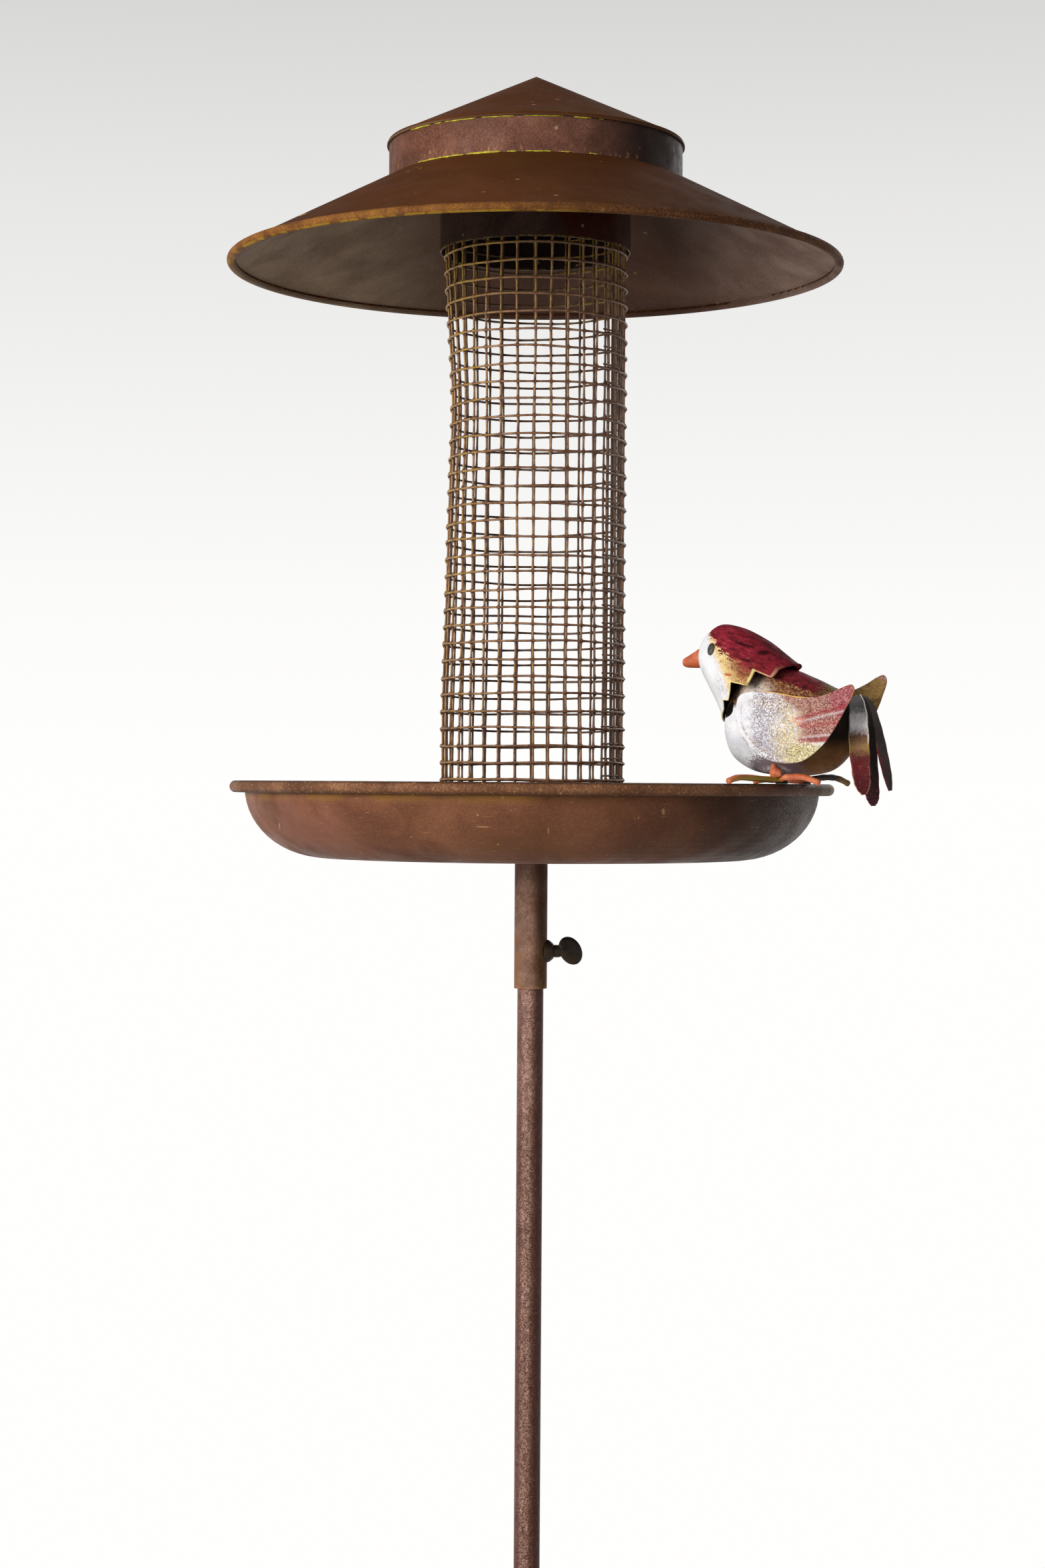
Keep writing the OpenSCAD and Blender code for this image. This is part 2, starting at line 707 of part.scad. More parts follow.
ground_spike();
ground_prongs();
pole_lower();
joining_pin();
pole_upper();
socket_tube();
weld_nut();
thumb_screw_shank();
thumb_screw_plate();
tray();
silo_foot_ring();
mesh_uprights();
mesh_hoops();
roof_sleeve();
roof_brim();
crown_band();
crown_cap();
bird_body();
bird_hood();
bird_beak();
bird_eyes();
bird_wing_left();
bird_wing_right();
bird_tail_left();
bird_tail_middle();
bird_tail_right();
bird_feet();
bird_foot_pads();
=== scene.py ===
import math
import random

import bmesh
import bpy
from mathutils import Matrix, Vector, noise
from mathutils.kdtree import KDTree


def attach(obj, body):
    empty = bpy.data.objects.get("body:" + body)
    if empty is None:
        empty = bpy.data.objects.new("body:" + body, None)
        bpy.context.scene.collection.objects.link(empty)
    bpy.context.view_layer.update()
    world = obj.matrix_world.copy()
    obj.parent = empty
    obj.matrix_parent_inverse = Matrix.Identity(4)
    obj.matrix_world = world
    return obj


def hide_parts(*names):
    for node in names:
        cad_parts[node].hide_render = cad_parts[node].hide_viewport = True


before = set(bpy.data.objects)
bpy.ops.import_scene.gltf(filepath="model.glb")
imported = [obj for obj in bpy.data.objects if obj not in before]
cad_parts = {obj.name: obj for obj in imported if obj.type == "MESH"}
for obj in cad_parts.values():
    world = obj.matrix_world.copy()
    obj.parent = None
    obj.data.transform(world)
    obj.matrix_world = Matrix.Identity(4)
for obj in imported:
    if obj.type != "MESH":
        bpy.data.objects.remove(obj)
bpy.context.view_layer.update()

MM = 0.001
RNG = random.Random(7)

# The same values as the CAD source, in mm
MESH_FOOT_Z = 481.22
MESH_TOP_Z = 743.0
HOOP_R = 34.625
HOOPS = 41
HOOP_PITCH = 6.35
HOOP_START_Z = MESH_FOOT_Z + HOOP_PITCH / 2
UPRIGHT_R = 33.655
UPRIGHTS = 34
UPRIGHT_PHASE = 269.9
WIRE_D = 0.95
SCREW_Z = 445.4
PERCH_R = 110.5
PERCH_ANGLE = -35
PERCH_Z = 509.02
BIRD_TURN = -22
TIN = 0.7


def linear(color):
    """Three numbers from 0 to 255 in linear light, with alpha. Four numbers are linear already."""
    if len(color) == 4:
        return color
    return (*((c / 255 / 12.92) if c <= 10 else ((c / 255 + 0.055) / 1.055) ** 2.4 for c in color), 1)


class Nodes:
    """A node tree with short helpers.

    In times, most, over and coat, a tuple is a smooth step: a value, its low and its high, and at choice
    what these two turn into. In plus, and as a ragged edge, a tuple is a product.
    """

    def __init__(self, tree):
        self.tree = tree
        self.tree.nodes.clear()

    def new(self, kind, **props):
        node = self.tree.nodes.new(kind)
        for key, value in props.items():
            setattr(node, key, value)
        return node

    def link(self, a, b):
        self.tree.links.new(a, b)

    def put(self, socket, value):
        if isinstance(value, bpy.types.NodeSocket):
            self.link(value, socket)
        elif socket.type == "RGBA":
            socket.default_value = linear(value)
        else:
            socket.default_value = value

    def made(self, kind, inputs, **props):
        """The outputs of a new node. Its inputs are a list, or a dictionary by name or number."""
        node = self.new(kind, **props)
        for key, value in inputs.items() if isinstance(inputs, dict) else enumerate(inputs):
            self.put(node.inputs[key], value)
        return node.outputs

    def math(self, op, *values, **props):
        return self.made("ShaderNodeMath", values, operation=op, **props)[0]

    def vector(self, op, *values):
        return self.made("ShaderNodeVectorMath", values, operation=op)

    def resized(self, vector, by):
        return self.made("ShaderNodeVectorMath", {0: vector, "Scale": by}, operation="SCALE")[0]

    def chain(self, op, values):
        total = values[0]
        for value in values[1:]:
            total = self.math(op, total, value)
        return total

    def shares(self, values):
        return [self.step(*v) if isinstance(v, tuple) else v for v in values]

    def times(self, *values):
        return self.chain("MULTIPLY", self.shares(values))

    def most(self, *values):
        return self.chain("MAXIMUM", self.shares(values))

    def plus(self, *values):
        return self.chain("ADD", [self.times(*v) if isinstance(v, tuple) else v for v in values])

    def invert(self, value):
        return self.math("SUBTRACT", 1.0, value)

    def length(self, x, y):
        return self.math("SQRT", self.plus((x, x), (y, y)))

    def step(self, value, low, high, to_low=0.0, to_high=1.0):
        values = (value, low, high, to_low, to_high)
        return self.made("ShaderNodeMapRange", values, interpolation_type="SMOOTHSTEP")[0]

    def ramp(self, value, *stops):
        node = self.new("ShaderNodeValToRGB")
        self.put(node.inputs[0], value)
        elements = node.color_ramp.elements
        while len(elements) < len(stops):
            elements.new(0.5)
        for element, (at, color) in zip(elements, stops):
            element.position = at
            element.color = linear(color)
        return node.outputs[0]

    def split(self, vector):
        return self.made("ShaderNodeSeparateXYZ", [vector])


class Paint(Nodes):
    """A node material. Lengths are in millimetres of the object's own space."""

    def __init__(self, name, slot=None):
        self.mat = bpy.data.materials.new(name)
        self.mat.use_nodes = True
        super().__init__(self.mat.node_tree)
        self.slot = slot or name
        self.bsdf = self.new("ShaderNodeBsdfPrincipled")
        self.surface = self.new("ShaderNodeOutputMaterial").inputs[0]
        self.link(self.bsdf.outputs[0], self.surface)
        self.tex = self.new("ShaderNodeTexCoord").outputs
        self.co = self.resized(self.tex["Object"], 1 / MM)
        self.color = None
        self.normal = None

    def xyz(self):
        return self.split(self.co)

    def facing(self):
        """The surface's own direction, with the object's bends but without bumps."""
        return self.split(self.tex["Normal"])

    def scaled(self, *by):
        return self.vector("MULTIPLY", self.co, by)[0]

    def join(self, x, y, z=0.0):
        return self.made("ShaderNodeCombineXYZ", (x, y, z))[0]

    def attribute(self, name):
        return self.made("ShaderNodeAttribute", (), attribute_name=name)["Fac"]

    def noise(self, size, detail=3.0, rough=0.55, vec=None, warp=0.0):
        """Noise whose lumps are about size mm."""
        inputs = {"Vector": vec or self.co, "Scale": 1 / size, "Detail": detail, "Roughness": rough,
                  "Distortion": warp}
        return self.made("ShaderNodeTexNoise", inputs)[0]

    def cells(self, size, feature, vec=None):
        inputs = {"Vector": vec or self.co, "Scale": 1 / size}
        return self.made("ShaderNodeTexVoronoi", inputs, feature=feature)[0]

    def spots(self, lumps, *limits):
        """Noise, given by its size, detail and roughness, with its levels stepped."""
        return self.step(self.noise(*lumps), *limits)

    def uneven(self, low, high, *lumps):
        """A number that drifts between low and high."""
        return self.spots(lumps, 0.35, 0.65, low, high)

    def ragged(self, reach, *lumps):
        """Noise about 0, to make an edge ragged by adding it to a place."""
        return self.times(self.plus(self.noise(*lumps), -0.5), reach)

    def clouds(self, size, dark, mid, light, speck=0.9, share=0.3):
        """Sprayed paint: three shades in drifting clouds under a fine speckle."""
        drift = self.noise(size, 4, 0.6, warp=0.5)
        shade = self.plus((drift, 1 - share), (self.noise(speck, 2, 0.7), share))
        return self.ramp(shade, (0.36, dark), (0.5, mid), (0.64, light))

    def flecks(self, size, share):
        """Small scattered dots: 1 on a dot."""
        pick = self.noise(size * 3, 2, 0.6)
        return self.times((self.cells(size, "F1"), 0.2, 0.1), (pick, 1 - share, 1 - share + 0.05))

    def scratches(self, length, width, share):
        """Short pale ticks that run round the object."""
        x, y, z = self.xyz()
        turn = self.math("ARCTAN2", y, x)
        flat = self.join(self.times(turn, 100 / length), self.times(z, 1 / width))
        return self.step(self.noise(1, 2, 0.5, flat, 0.6), 1 - share, 1 - share + 0.04)

    def grain(self, share, size=0.6):
        """Speckle that covers a share of the surface, from 0 to 1."""
        return self.step(self.plus(self.noise(size, 3, 0.75), (share, 0.4)), 0.68, 0.74)

    def patch(self, flat, centre, size, soft, rag, turn=0.0):
        """1 inside an oval of the flat vector, 0 outside, with a soft and ragged edge."""
        inputs = {"Vector": flat, "Location": (*centre, 0), "Scale": (*size, 1),
                  "Rotation": (0, 0, math.radians(turn))}
        oval = self.made("ShaderNodeMapping", inputs, vector_type="TEXTURE")[0]
        far = self.vector("LENGTH", oval)["Value"]
        return self.step(self.plus(far, rag), 1 + soft, 1 - soft)

    def stroke(self, flat, start, end, width, soft, rag):
        """1 on a straight line of that width between two points of the flat vector, fading over soft mm."""
        run = Vector((end[0] - start[0], end[1] - start[1], 0))
        off = self.vector("SUBTRACT", flat, (*start, 0))[0]
        along_run = self.vector("DOT_PRODUCT", off, run / run.length_squared)["Value"]
        share = self.math("ADD", along_run, 0.0, use_clamp=True)
        far = self.vector("DISTANCE", off, self.resized(run, share))["Value"]
        return self.step(self.plus(far, rag), width / 2 + soft, width / 2 - soft)

    def over(self, base, tint, *shares):
        """A tint over a base colour, where the shares, multiplied, are 1."""
        return self.made("ShaderNodeMix", {0: self.times(*shares), 6: base, 7: tint}, data_type="RGBA")[2]

    def coat(self, tint, *shares):
        self.color = self.over(self.color, tint, *shares)

    def bump(self, height, depth, strength):
        """Height runs from 0 to 1 and stands for depth mm."""
        inputs = {"Strength": strength, "Distance": depth * MM, "Height": height}
        if self.normal:
            inputs["Normal"] = self.normal
        self.normal = self.made("ShaderNodeBump", inputs)[0]

    def finish(self, rough, spec=0.5, metal=0.0):
        inputs = {"Base Color": self.color, "Roughness": rough, "Specular IOR Level": spec,
                  "Metallic": metal}
        if self.normal:
            inputs["Normal"] = self.normal
        for name, value in inputs.items():
            self.put(self.bsdf.inputs[name], value)
        return self


def roof_underside(p, x):
    under = p.clouds(46, (66, 45, 34), (84, 60, 48), (104, 77, 62), 0.7, 0.4)
    # Painted light: lighter grey-brown on the left
    grey = p.step(p.plus(x, (p.noise(40, 3, 0.6), 40)), 0, -60)
    muted_tint = p.clouds(20, (122, 102, 82), (148, 126, 104), (172, 148, 124), 0.6, 0.5)
    under = p.over(under, muted_tint, grey, 0.8)
    # Painted reflection: paler at the far right
    pale = p.clouds(20, (124, 98, 84), (158, 130, 114), (186, 156, 138), 0.6, 0.5)
    under = p.over(under, pale, (x, 50, 104, 0, 0.8))
    warm = p.noise(60, 3, 0.6)
    return p.over(under, (88, 56, 42), (warm, 0.5, 0.64, 0, 0.35))


# The roof: satin rust-brown sheet, ochre on the left of the rolled rim as painted light from the left,
# maroon-brown underneath
def roof_material():
    p = Paint("roof_paint")
    x, y, z = p.xyz()
    _, _, nz = p.facing()
    radius = p.length(x, y)
    top = p.clouds(46, (69, 37, 15), (77, 42, 18), (87, 49, 24))
    olive = p.noise(60, 3, 0.6, vec=p.scaled(1, 1, 2))
    top = p.over(top, (84, 58, 26), (olive, 0.5, 0.66, 0, 0.25))
    # Painted shade: the top is darker towards the right
    top = p.over(top, (54, 30, 18), (x, 10, 80), 0.4)
    p.color = p.over(top, roof_underside(p, x), (nz, 0.05, -0.05))
    # How far round to the left and front a point of the rim stands, where the ochre is painted light
    left = p.step(p.plus((x, -1.0), (y, -0.5)), 0, 95)
    near = p.step(y, 25, -25)
    rag = p.ragged(1.2, 3.5, 4, 0.7)
    roll = p.step(p.plus(radius, rag), 112.4, 113.2)
    ochre = p.clouds(12, (98, 60, 32), (130, 84, 40), (164, 112, 48), 0.8, 0.5)
    brown = p.clouds(10, (50, 31, 20), (82, 52, 32), (118, 78, 48), 0.7, 0.6)
    rim = p.over(brown, ochre, left, p.spots((9, 4, 0.7), 0.3, 0.6, 0.4, 0.85))
    p.coat(rim, roll, p.most(near, (nz, 0.0, 0.3)))
    # Painted light: a gold line on the roll's lower face at the left front
    lip = p.times((nz, -0.55, -0.9), roll, (left, 0.25, 0.75), near)
    p.coat((184, 148, 40), lip, p.spots((9, 3, 0.6), 0.42, 0.54), 0.6)
    edge = p.times((radius, 110.2, 112.6), (radius, 113.4, 112.6), (nz, 0.0, 0.3))
    p.coat((140, 90, 54), edge, p.spots((2.5, 4, 0.7), 0.5, 0.62), 0.5)
    flat = p.join(x, z)
    chips = p.most(*[p.patch(flat, at, size, 0.4, rag) for at, size in (
        ((101, 711.5), (1.5, 0.8)), ((107, 708.6), (1.2, 0.7)), ((-84, 712.4), (1.6, 0.8)))])
    p.coat((190, 148, 104), chips, near, 0.85)
    p.coat((166, 124, 84), p.flecks(5.5, 0.42), 0.5)
    p.coat((144, 102, 74), p.scratches(9, 0.6, 0.29), 0.35)
    rough = p.plus(p.uneven(0.55, 0.68, 14, 3, 0.6), p.step(nz, 0.0, 0.3, 0.0, 0.16))
    p.bump(p.noise(0.9, 3, 0.6), 0.05, 0.6)
    p.bump(p.noise(22, 3, 0.5), 0.5, 0.35)
    p.bump(p.times(roll, p.noise(2.2, 4, 0.7)), 0.3, 0.7)
    return p.finish(rough, spec=0.04)


def band_material():
    p = Paint("band_paint")
    x, _, z = p.xyz()
    p.color = p.clouds(16, (70, 42, 30), (94, 58, 44), (122, 80, 62), 0.8, 0.45)
    # Painted light and shade: lighter from the middle rightwards, and near-black painted shade over the right
    # side
    p.coat(p.clouds(16, (96, 62, 50), (124, 84, 70), (150, 108, 90), 0.8, 0.45), (x, -40, -10), 0.6)
    p.coat((24, 15, 11), (p.plus(x, (p.noise(9, 3, 0.6), 14)), 16, 50), 0.92)
    # Light marks along the lower edge: wear, and a painted highlight
    wear_and_highlight = p.noise(2.0, 4, 0.7, vec=p.scaled(1, 1, 0.35))
    p.coat((170, 122, 86), (wear_and_highlight, 0.56, 0.68), (z, 738.6, 735.6), 0.8)
    p.coat((190, 160, 130), p.flecks(4.5, 0.45), 0.5)
    p.bump(p.noise(1.1, 3, 0.65), 0.06, 0.7)
    p.bump(p.noise(12, 3, 0.5), 0.3, 0.4)
    rough = p.uneven(0.46, 0.62, 6, 3, 0.6)
    return p.finish(rough, spec=0.08)


def sleeve_material():
    p = Paint("sleeve_paint")
    x, y, z = p.xyz()
    nx, ny, _ = p.facing()
    p.color = p.clouds(14, (42, 29, 24), (58, 41, 34), (76, 56, 46), 0.7, 0.35)
    red = p.patch(p.join(x, z), (19, 729), (13, 26), 0.35, p.ragged(0.8, 5, 3, 0.6))
    p.coat((52, 14, 8), red, (y, 4, -4), 0.85)
    # Painted shade: faces turned inward are darker
    inside = p.step(p.plus((nx, x), (ny, y)), 4, -4)
    p.coat((24, 16, 14), inside, 0.75)
    p.coat((128, 100, 42), (z, 709.2, 708.6), p.spots((3, 3, 0.7), 0.4, 0.6), 0.8)
    p.coat((170, 140, 110), p.flecks(4, 0.42), 0.5)
    p.bump(p.noise(1.2, 3, 0.6), 0.05, 0.6)
    return p.finish(p.uneven(0.42, 0.58, 5, 3), spec=0.08)


def tray_rim(p, x, z, nz):
    rim = p.clouds(16, (84, 54, 38), (114, 76, 53), (146, 104, 74), 0.8, 0.45)
    rim = p.over(rim, (88, 58, 42), (x, -40, -100), 0.3)
    rim = p.over(rim, (58, 38, 29), (nz, 0.55, 0.85), 0.7)
    # Painted shade: darker towards the right
    rim = p.over(rim, (62, 44, 36), (x, 40, 104), 0.6)
    rim = p.over(rim, (66, 42, 24), (z, 505.9, 505.0), 0.55)
    return p.over(rim, (196, 150, 96), p.spots((1.1, 4, 0.7), 0.6, 0.66), 0.65)


def tray_material():
    p = Paint("tray_paint")
    x, y, z = p.xyz()
    nx, ny, nz = p.facing()
    radius = p.length(x, y)
    p.color = p.clouds(34, (86, 52, 36), (108, 68, 48), (128, 84, 60), 0.8, 0.32)
    olive = p.step(p.noise(42, 3, 0.6, vec=p.scaled(0.6, 1, 1)), 0.46, 0.62)
    mid = p.times((x, -62, -12), (x, 96, 40))
    p.coat((98, 66, 38), olive, mid, 0.4)
    sheen = p.times((p.plus(x, (z, 0.4)), 142, 122), p.spots((22, 3, 0.6), 0.38, 0.6))
    p.coat((134, 88, 74), sheen, 0.4)
    # Painted shade: the right side is darker, under a coarse grey speckle that is partly a painted sheen on
    # the outward faces at the far right
    right = p.step(p.plus(x, (p.noise(16, 3, 0.6), 24)), 34, 100)
    p.coat((38, 27, 21), right, 0.9)
    far = p.step(x, 70, 110)
    speckle_and_sheen = p.step(p.plus(p.noise(0.75, 3, 0.75), (far, 0.12)), 0.5, 0.61)
    outward = p.step(p.plus((nx, x), (ny, y)), -4, 4)
    p.coat((134, 124, 118), far, outward, speckle_and_sheen, 0.85)
    # Painted light: a gold line under the rim on the left
    gold = p.times((z, 500.6, 504.2), (radius, 112.6, 110.6), (nz, 0.35, 0.0), (x, 40, -10))
    p.coat((150, 108, 44), gold, p.spots((20, 3, 0.6), 0.3, 0.6), 0.55)
    roll = p.step(z, 503.9, 504.9)
    p.coat(tray_rim(p, x, z, nz), roll)
    inside = p.times((nz, 0.25, 0.6), (radius, 109, 107))
    floor = p.clouds(20, (66, 42, 32), (92, 60, 44), (116, 80, 58), 0.8, 0.45)
    p.coat(floor, inside)
    front = p.step(y, 10, -10)
    flat = p.join(x, z)
    rag = p.ragged(2.4, 1.2, 3, 0.7)
    marks = p.most(*[p.patch(flat, at, size, 0.3, rag) for at, size in (
        ((-17, 493.6), (2.4, 0.2)), ((45, 499.2), (0.5, 1.0)),
        ((-91, 492.6), (0.25, 1.2)), ((5.4, 492.4), (0.2, 0.8)))])
    p.coat((186, 146, 106), marks, front, 0.5)
    p.coat((176, 132, 84), p.scratches(5, 0.4, 0.31), p.invert(roll), 0.4)
    p.coat((190, 150, 104), p.flecks(3.6, 0.4), 0.45)
    p.bump(p.noise(0.8, 3, 0.65), 0.05, 0.6)
    p.bump(p.noise(20, 3, 0.5), 0.4, 0.35)
    p.bump(p.times(roll, p.noise(2.6, 4, 0.7)), 0.3, 0.8)
    rough = p.uneven(0.46, 0.62, 12, 3, 0.6)
    return p.finish(rough, spec=0.08)


def socket_material():
    p = Paint("socket_paint")
    x, _, z = p.xyz()
    p.color = p.clouds(9, (96, 66, 50), (136, 102, 84), (170, 136, 118), 0.7, 0.4)
    # Painted shade: darker at the top, under the tray
    p.coat((84, 58, 48), (z, 464, 479), 0.6)
    # Painted shade: dark over the right side and darker at the left edge
    p.coat((62, 34, 19), (x, -1.0, 4.0), 0.88)
    p.coat((84, 52, 38), (x, -4.2, -6.0), 0.5)
    for at, size, tint, share in (((-4.2, 452), (3.4, 9), (96, 76, 68), 0.4),
                                  ((-3.4, 438), (3.2, 6), (104, 86, 76), 0.35)):
        bruise = p.patch(p.join(x, z), at, size, 0.5, p.ragged(1.4, 4, 3, 0.6))
        p.coat(tint, bruise, share)
    p.coat((128, 84, 50), (z, 462, 444), (x, -1.5, -4.5), p.spots((5, 3, 0.6), 0.38, 0.55), 0.5)
    p.coat((118, 88, 46), (z, 452, 440), (x, 0.5, 4.5), p.spots((7, 3, 0.6), 0.36, 0.55), 0.6)
    p.coat((178, 132, 84), (z, 432.6, 431.7), p.spots((2.2, 4, 0.7), 0.42, 0.6), 0.45)
    ticks = p.noise(1.1, 3, 0.7, vec=p.scaled(1, 1, 0.25))
    p.coat((180, 146, 112), (ticks, 0.66, 0.72), 0.6)
    p.bump(p.noise(1.3, 3, 0.6), 0.14, 0.9)
    p.bump(p.noise(7, 2, 0.5), 0.25, 0.4)
    return p.finish(p.uneven(0.46, 0.6, 5, 3), spec=0.1)


def pole_material(name, base, dark, light, gold):
    """Hammered paint on small rounded dimples, with painted highlights on their middles and painted shade at
    their borders.
    """
    p = Paint(name)
    x, _, z = p.xyz()
    stretched = p.scaled(1, 1, 0.62)
    dents = p.cells(1.35, "SMOOTH_F1", vec=stretched)
    fine = p.noise(0.5, 3, 0.7)
    p.color = p.ramp(p.plus((p.noise(11, 4, 0.6), 0.2), (fine, 0.8)), (0.36, dark), (0.5, base),
                     (0.64, light))
    # Painted light towards the top and painted shade lower down
    p.coat(light, (z, 330, 425), 0.12)
    p.coat(dark, (z, 390, 300), 0.3)
    # Painted highlight: a lighter band left of the middle, brightest on the dimples' middles
    band = p.times((x, -3.6, -2.2), (x, 1.2, 0.0))
    p.coat(light, band, (fine, 0.4, 0.62), 0.4)
    p.coat(light, band, (dents, 0.34, 0.14), p.spots((2.6, 3, 0.7), 0.4, 0.6), 0.6)
    # Painted shade at the dimples' borders, over the right side and at the left edge
    p.coat(dark, (dents, 0.42, 0.66), 0.4)
    p.coat(dark, (x, -0.4, 2.8), 0.8)
    p.coat(dark, (x, -2.4, -3.8), 0.5)
    p.coat(gold, p.spots((1.5, 4, 0.75), 0.58, 0.68), 0.45)
    p.coat(dark, p.spots((3, 3, 0.7), 0.6, 0.7), 0.3)
    p.bump(p.invert(dents), 0.35, 1.0)
    p.bump(fine, 0.06, 0.7)
    return p.finish(p.step(fine, 0.35, 0.65, 0.42, 0.58), spec=0.14)


def screw_material():
    p = Paint("screw_black")
    _, y, z = p.xyz()
    p.color = p.clouds(3, (15, 12, 10), (26, 21, 17), (42, 34, 26), 0.4, 0.4)
    # Painted sheen: an olive tint on the lower front
    olive = p.step(p.plus((y, -1.0), (z, -0.6), (p.noise(2.5, 3, 0.6), 6)), -266, -258)
    p.coat((60, 44, 20), olive, 0.6)
    p.bump(p.noise(0.7, 3, 0.6), 0.05, 0.6)
    return p.finish(p.uneven(0.34, 0.5, 1.5, 3), spec=0.16)


def wire_material():
    """Brown paint, rusty at the welds; gold on the left flanks, partly paint and partly painted light; faces
    turned inward darker; painted shade on the right and painted glints.
    """
    p = Paint("wire_paint")
    x, y, z = p.xyz()
    nx, ny, nz = p.facing()
    p.color = p.clouds(5, (84, 56, 41), (134, 97, 72), (182, 142, 110), 0.35, 0.55)
    radius = p.length(x, y)
    turn = p.math("ARCTAN2", y, x)
    # Where a point stands between the uprights and between the hoops, and how far it is from the next weld
    cell_round = p.plus(p.times(turn, UPRIGHTS / math.tau), 400 - UPRIGHT_PHASE * UPRIGHTS / 360)
    cell_up = p.plus(p.times(z, 1 / HOOP_PITCH), 400 - HOOP_START_Z / HOOP_PITCH)
    aside, above = [p.times(p.math("PINGPONG", p.math("FRACT", cell), 0.5), size) for cell, size in (
        (cell_round, math.tau * HOOP_R / UPRIGHTS), (cell_up, HOOP_PITCH))]
    near = p.length(aside, above)
    weld = p.step(p.plus(near, (p.noise(1.5, 3, 0.7), 1.4)), 2.3, 1.4)
    p.coat((84, 50, 38), weld, 0.5)
    # Gold on left-facing flanks and gold spots on the left half: gold paint, and also painted light from the
    # left
    gold = p.times((nx, -0.15, -0.75), (p.plus(x, (p.noise(8, 3, 0.7), 26)), 40, 6))
    hoop = p.step(radius, 34.1, 34.5, 1.0, 0.4)
    p.coat((166, 132, 50), gold, hoop, p.spots((2.5, 3, 0.7), 0.42, 0.58))
    p.coat((146, 108, 48), p.spots((3.5, 3, 0.7), 0.6, 0.68), (x, 30, 0), 0.6)
    glint = p.times((nx, 0.5, 0.9), (nz, 0.5, 0.0), p.spots((3, 3, 0.7), 0.48, 0.6))
    p.coat((190, 170, 150), glint, (x, 12, 30), 0.55)
    # Faces turned inward are darker
    p.coat((56, 40, 33), (p.plus((nx, x), (ny, y)), 6, -14), 0.6)
    # Painted shade: the inner layer on the right is near-black
    p.coat((34, 24, 20), (radius, 33.1, 32.5), (x, 18, 26), 0.7)
    # At the top, gold on left-facing flanks is partly painted light, and right-facing flanks get painted
    # shade
    p.coat((182, 146, 48), (z, 672, 706), (nx, 0.2, -0.6), p.spots((3, 3, 0.7), 0.4, 0.52), 0.75)
    p.coat((84, 62, 36), (z, 672, 706), (nx, -0.6, 0.2), 0.5)
    p.bump(p.noise(0.6, 3, 0.7), 0.06, 0.8)
    return p.finish(p.uneven(0.36, 0.58, 1.2, 3, 0.7), spec=0.25)


def sliver_material():
    p = Paint("seam_primer", "band_paint")
    p.color = p.clouds(3.0, (120, 108, 26), (182, 168, 38), (222, 210, 76), 0.4, 0.5)
    p.bump(p.noise(0.5, 3, 0.7), 0.08, 0.8)
    return p.finish(0.6, spec=0.3)


def steel_material():
    p = Paint("pin_steel")
    x, y, z = p.xyz()
    turn = p.math("ARCTAN2", y, x)
    lines = p.noise(0.25, 3, 0.7, vec=p.join(p.times(turn, 0.6), z))
    p.color = p.ramp(p.plus((lines, 0.5), (p.noise(8, 3), 0.5)), (0.35, (120, 118, 114)),
                     (0.5, (152, 150, 147)), (0.65, (178, 176, 172)))
    p.bump(lines, 0.02, 0.5)
    return p.finish(p.step(lines, 0.35, 0.65, 0.28, 0.45), metal=1.0)


def pad_material():
    p = Paint("pad_black", "bird_black")
    p.color = p.ramp(p.noise(1.2, 3, 0.7), (0.38, (8, 8, 7)), (0.52, (18, 17, 14)), (0.66, (52, 48, 36)))
    p.bump(p.noise(0.8, 3, 0.7), 0.12, 0.7)
    return p.finish(p.uneven(0.5, 0.7, 1.0, 3), spec=0.1)


def shown(name, data):
    """An object of the scene."""
    obj = bpy.data.objects.new(name, data)
    bpy.context.scene.collection.objects.link(obj)
    return obj


def paint_nodes(look, *nodes):
    for node in nodes:
        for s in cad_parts[node].material_slots:
            s.material = look.mat


ROOF = roof_material()
TRAY = tray_material()
WIRE = wire_material()
SCREW = screw_material()
POLE = pole_material("pole_paint", (106, 70, 58), (66, 36, 27), (184, 148, 134), (160, 112, 74))
STAKE = pole_material("stake_paint", (78, 60, 52), (50, 38, 33), (104, 84, 72), (118, 96, 70))
paint_nodes(ROOF, "roof_brim", "crown_cap")
paint_nodes(band_material(), "crown_band")
paint_nodes(sleeve_material(), "roof_sleeve")
paint_nodes(TRAY, "tray", "silo_foot_ring")
paint_nodes(socket_material(), "socket_tube")
paint_nodes(SCREW, "thumb_screw_shank")
paint_nodes(POLE, "pole_upper", "pole_lower")
paint_nodes(steel_material(), "joining_pin")
paint_nodes(STAKE, "ground_spike", "ground_prongs")
paint_nodes(pad_material(), "bird_foot_pads")


def turns(count):
    return [math.tau * k / count for k in range(count)]


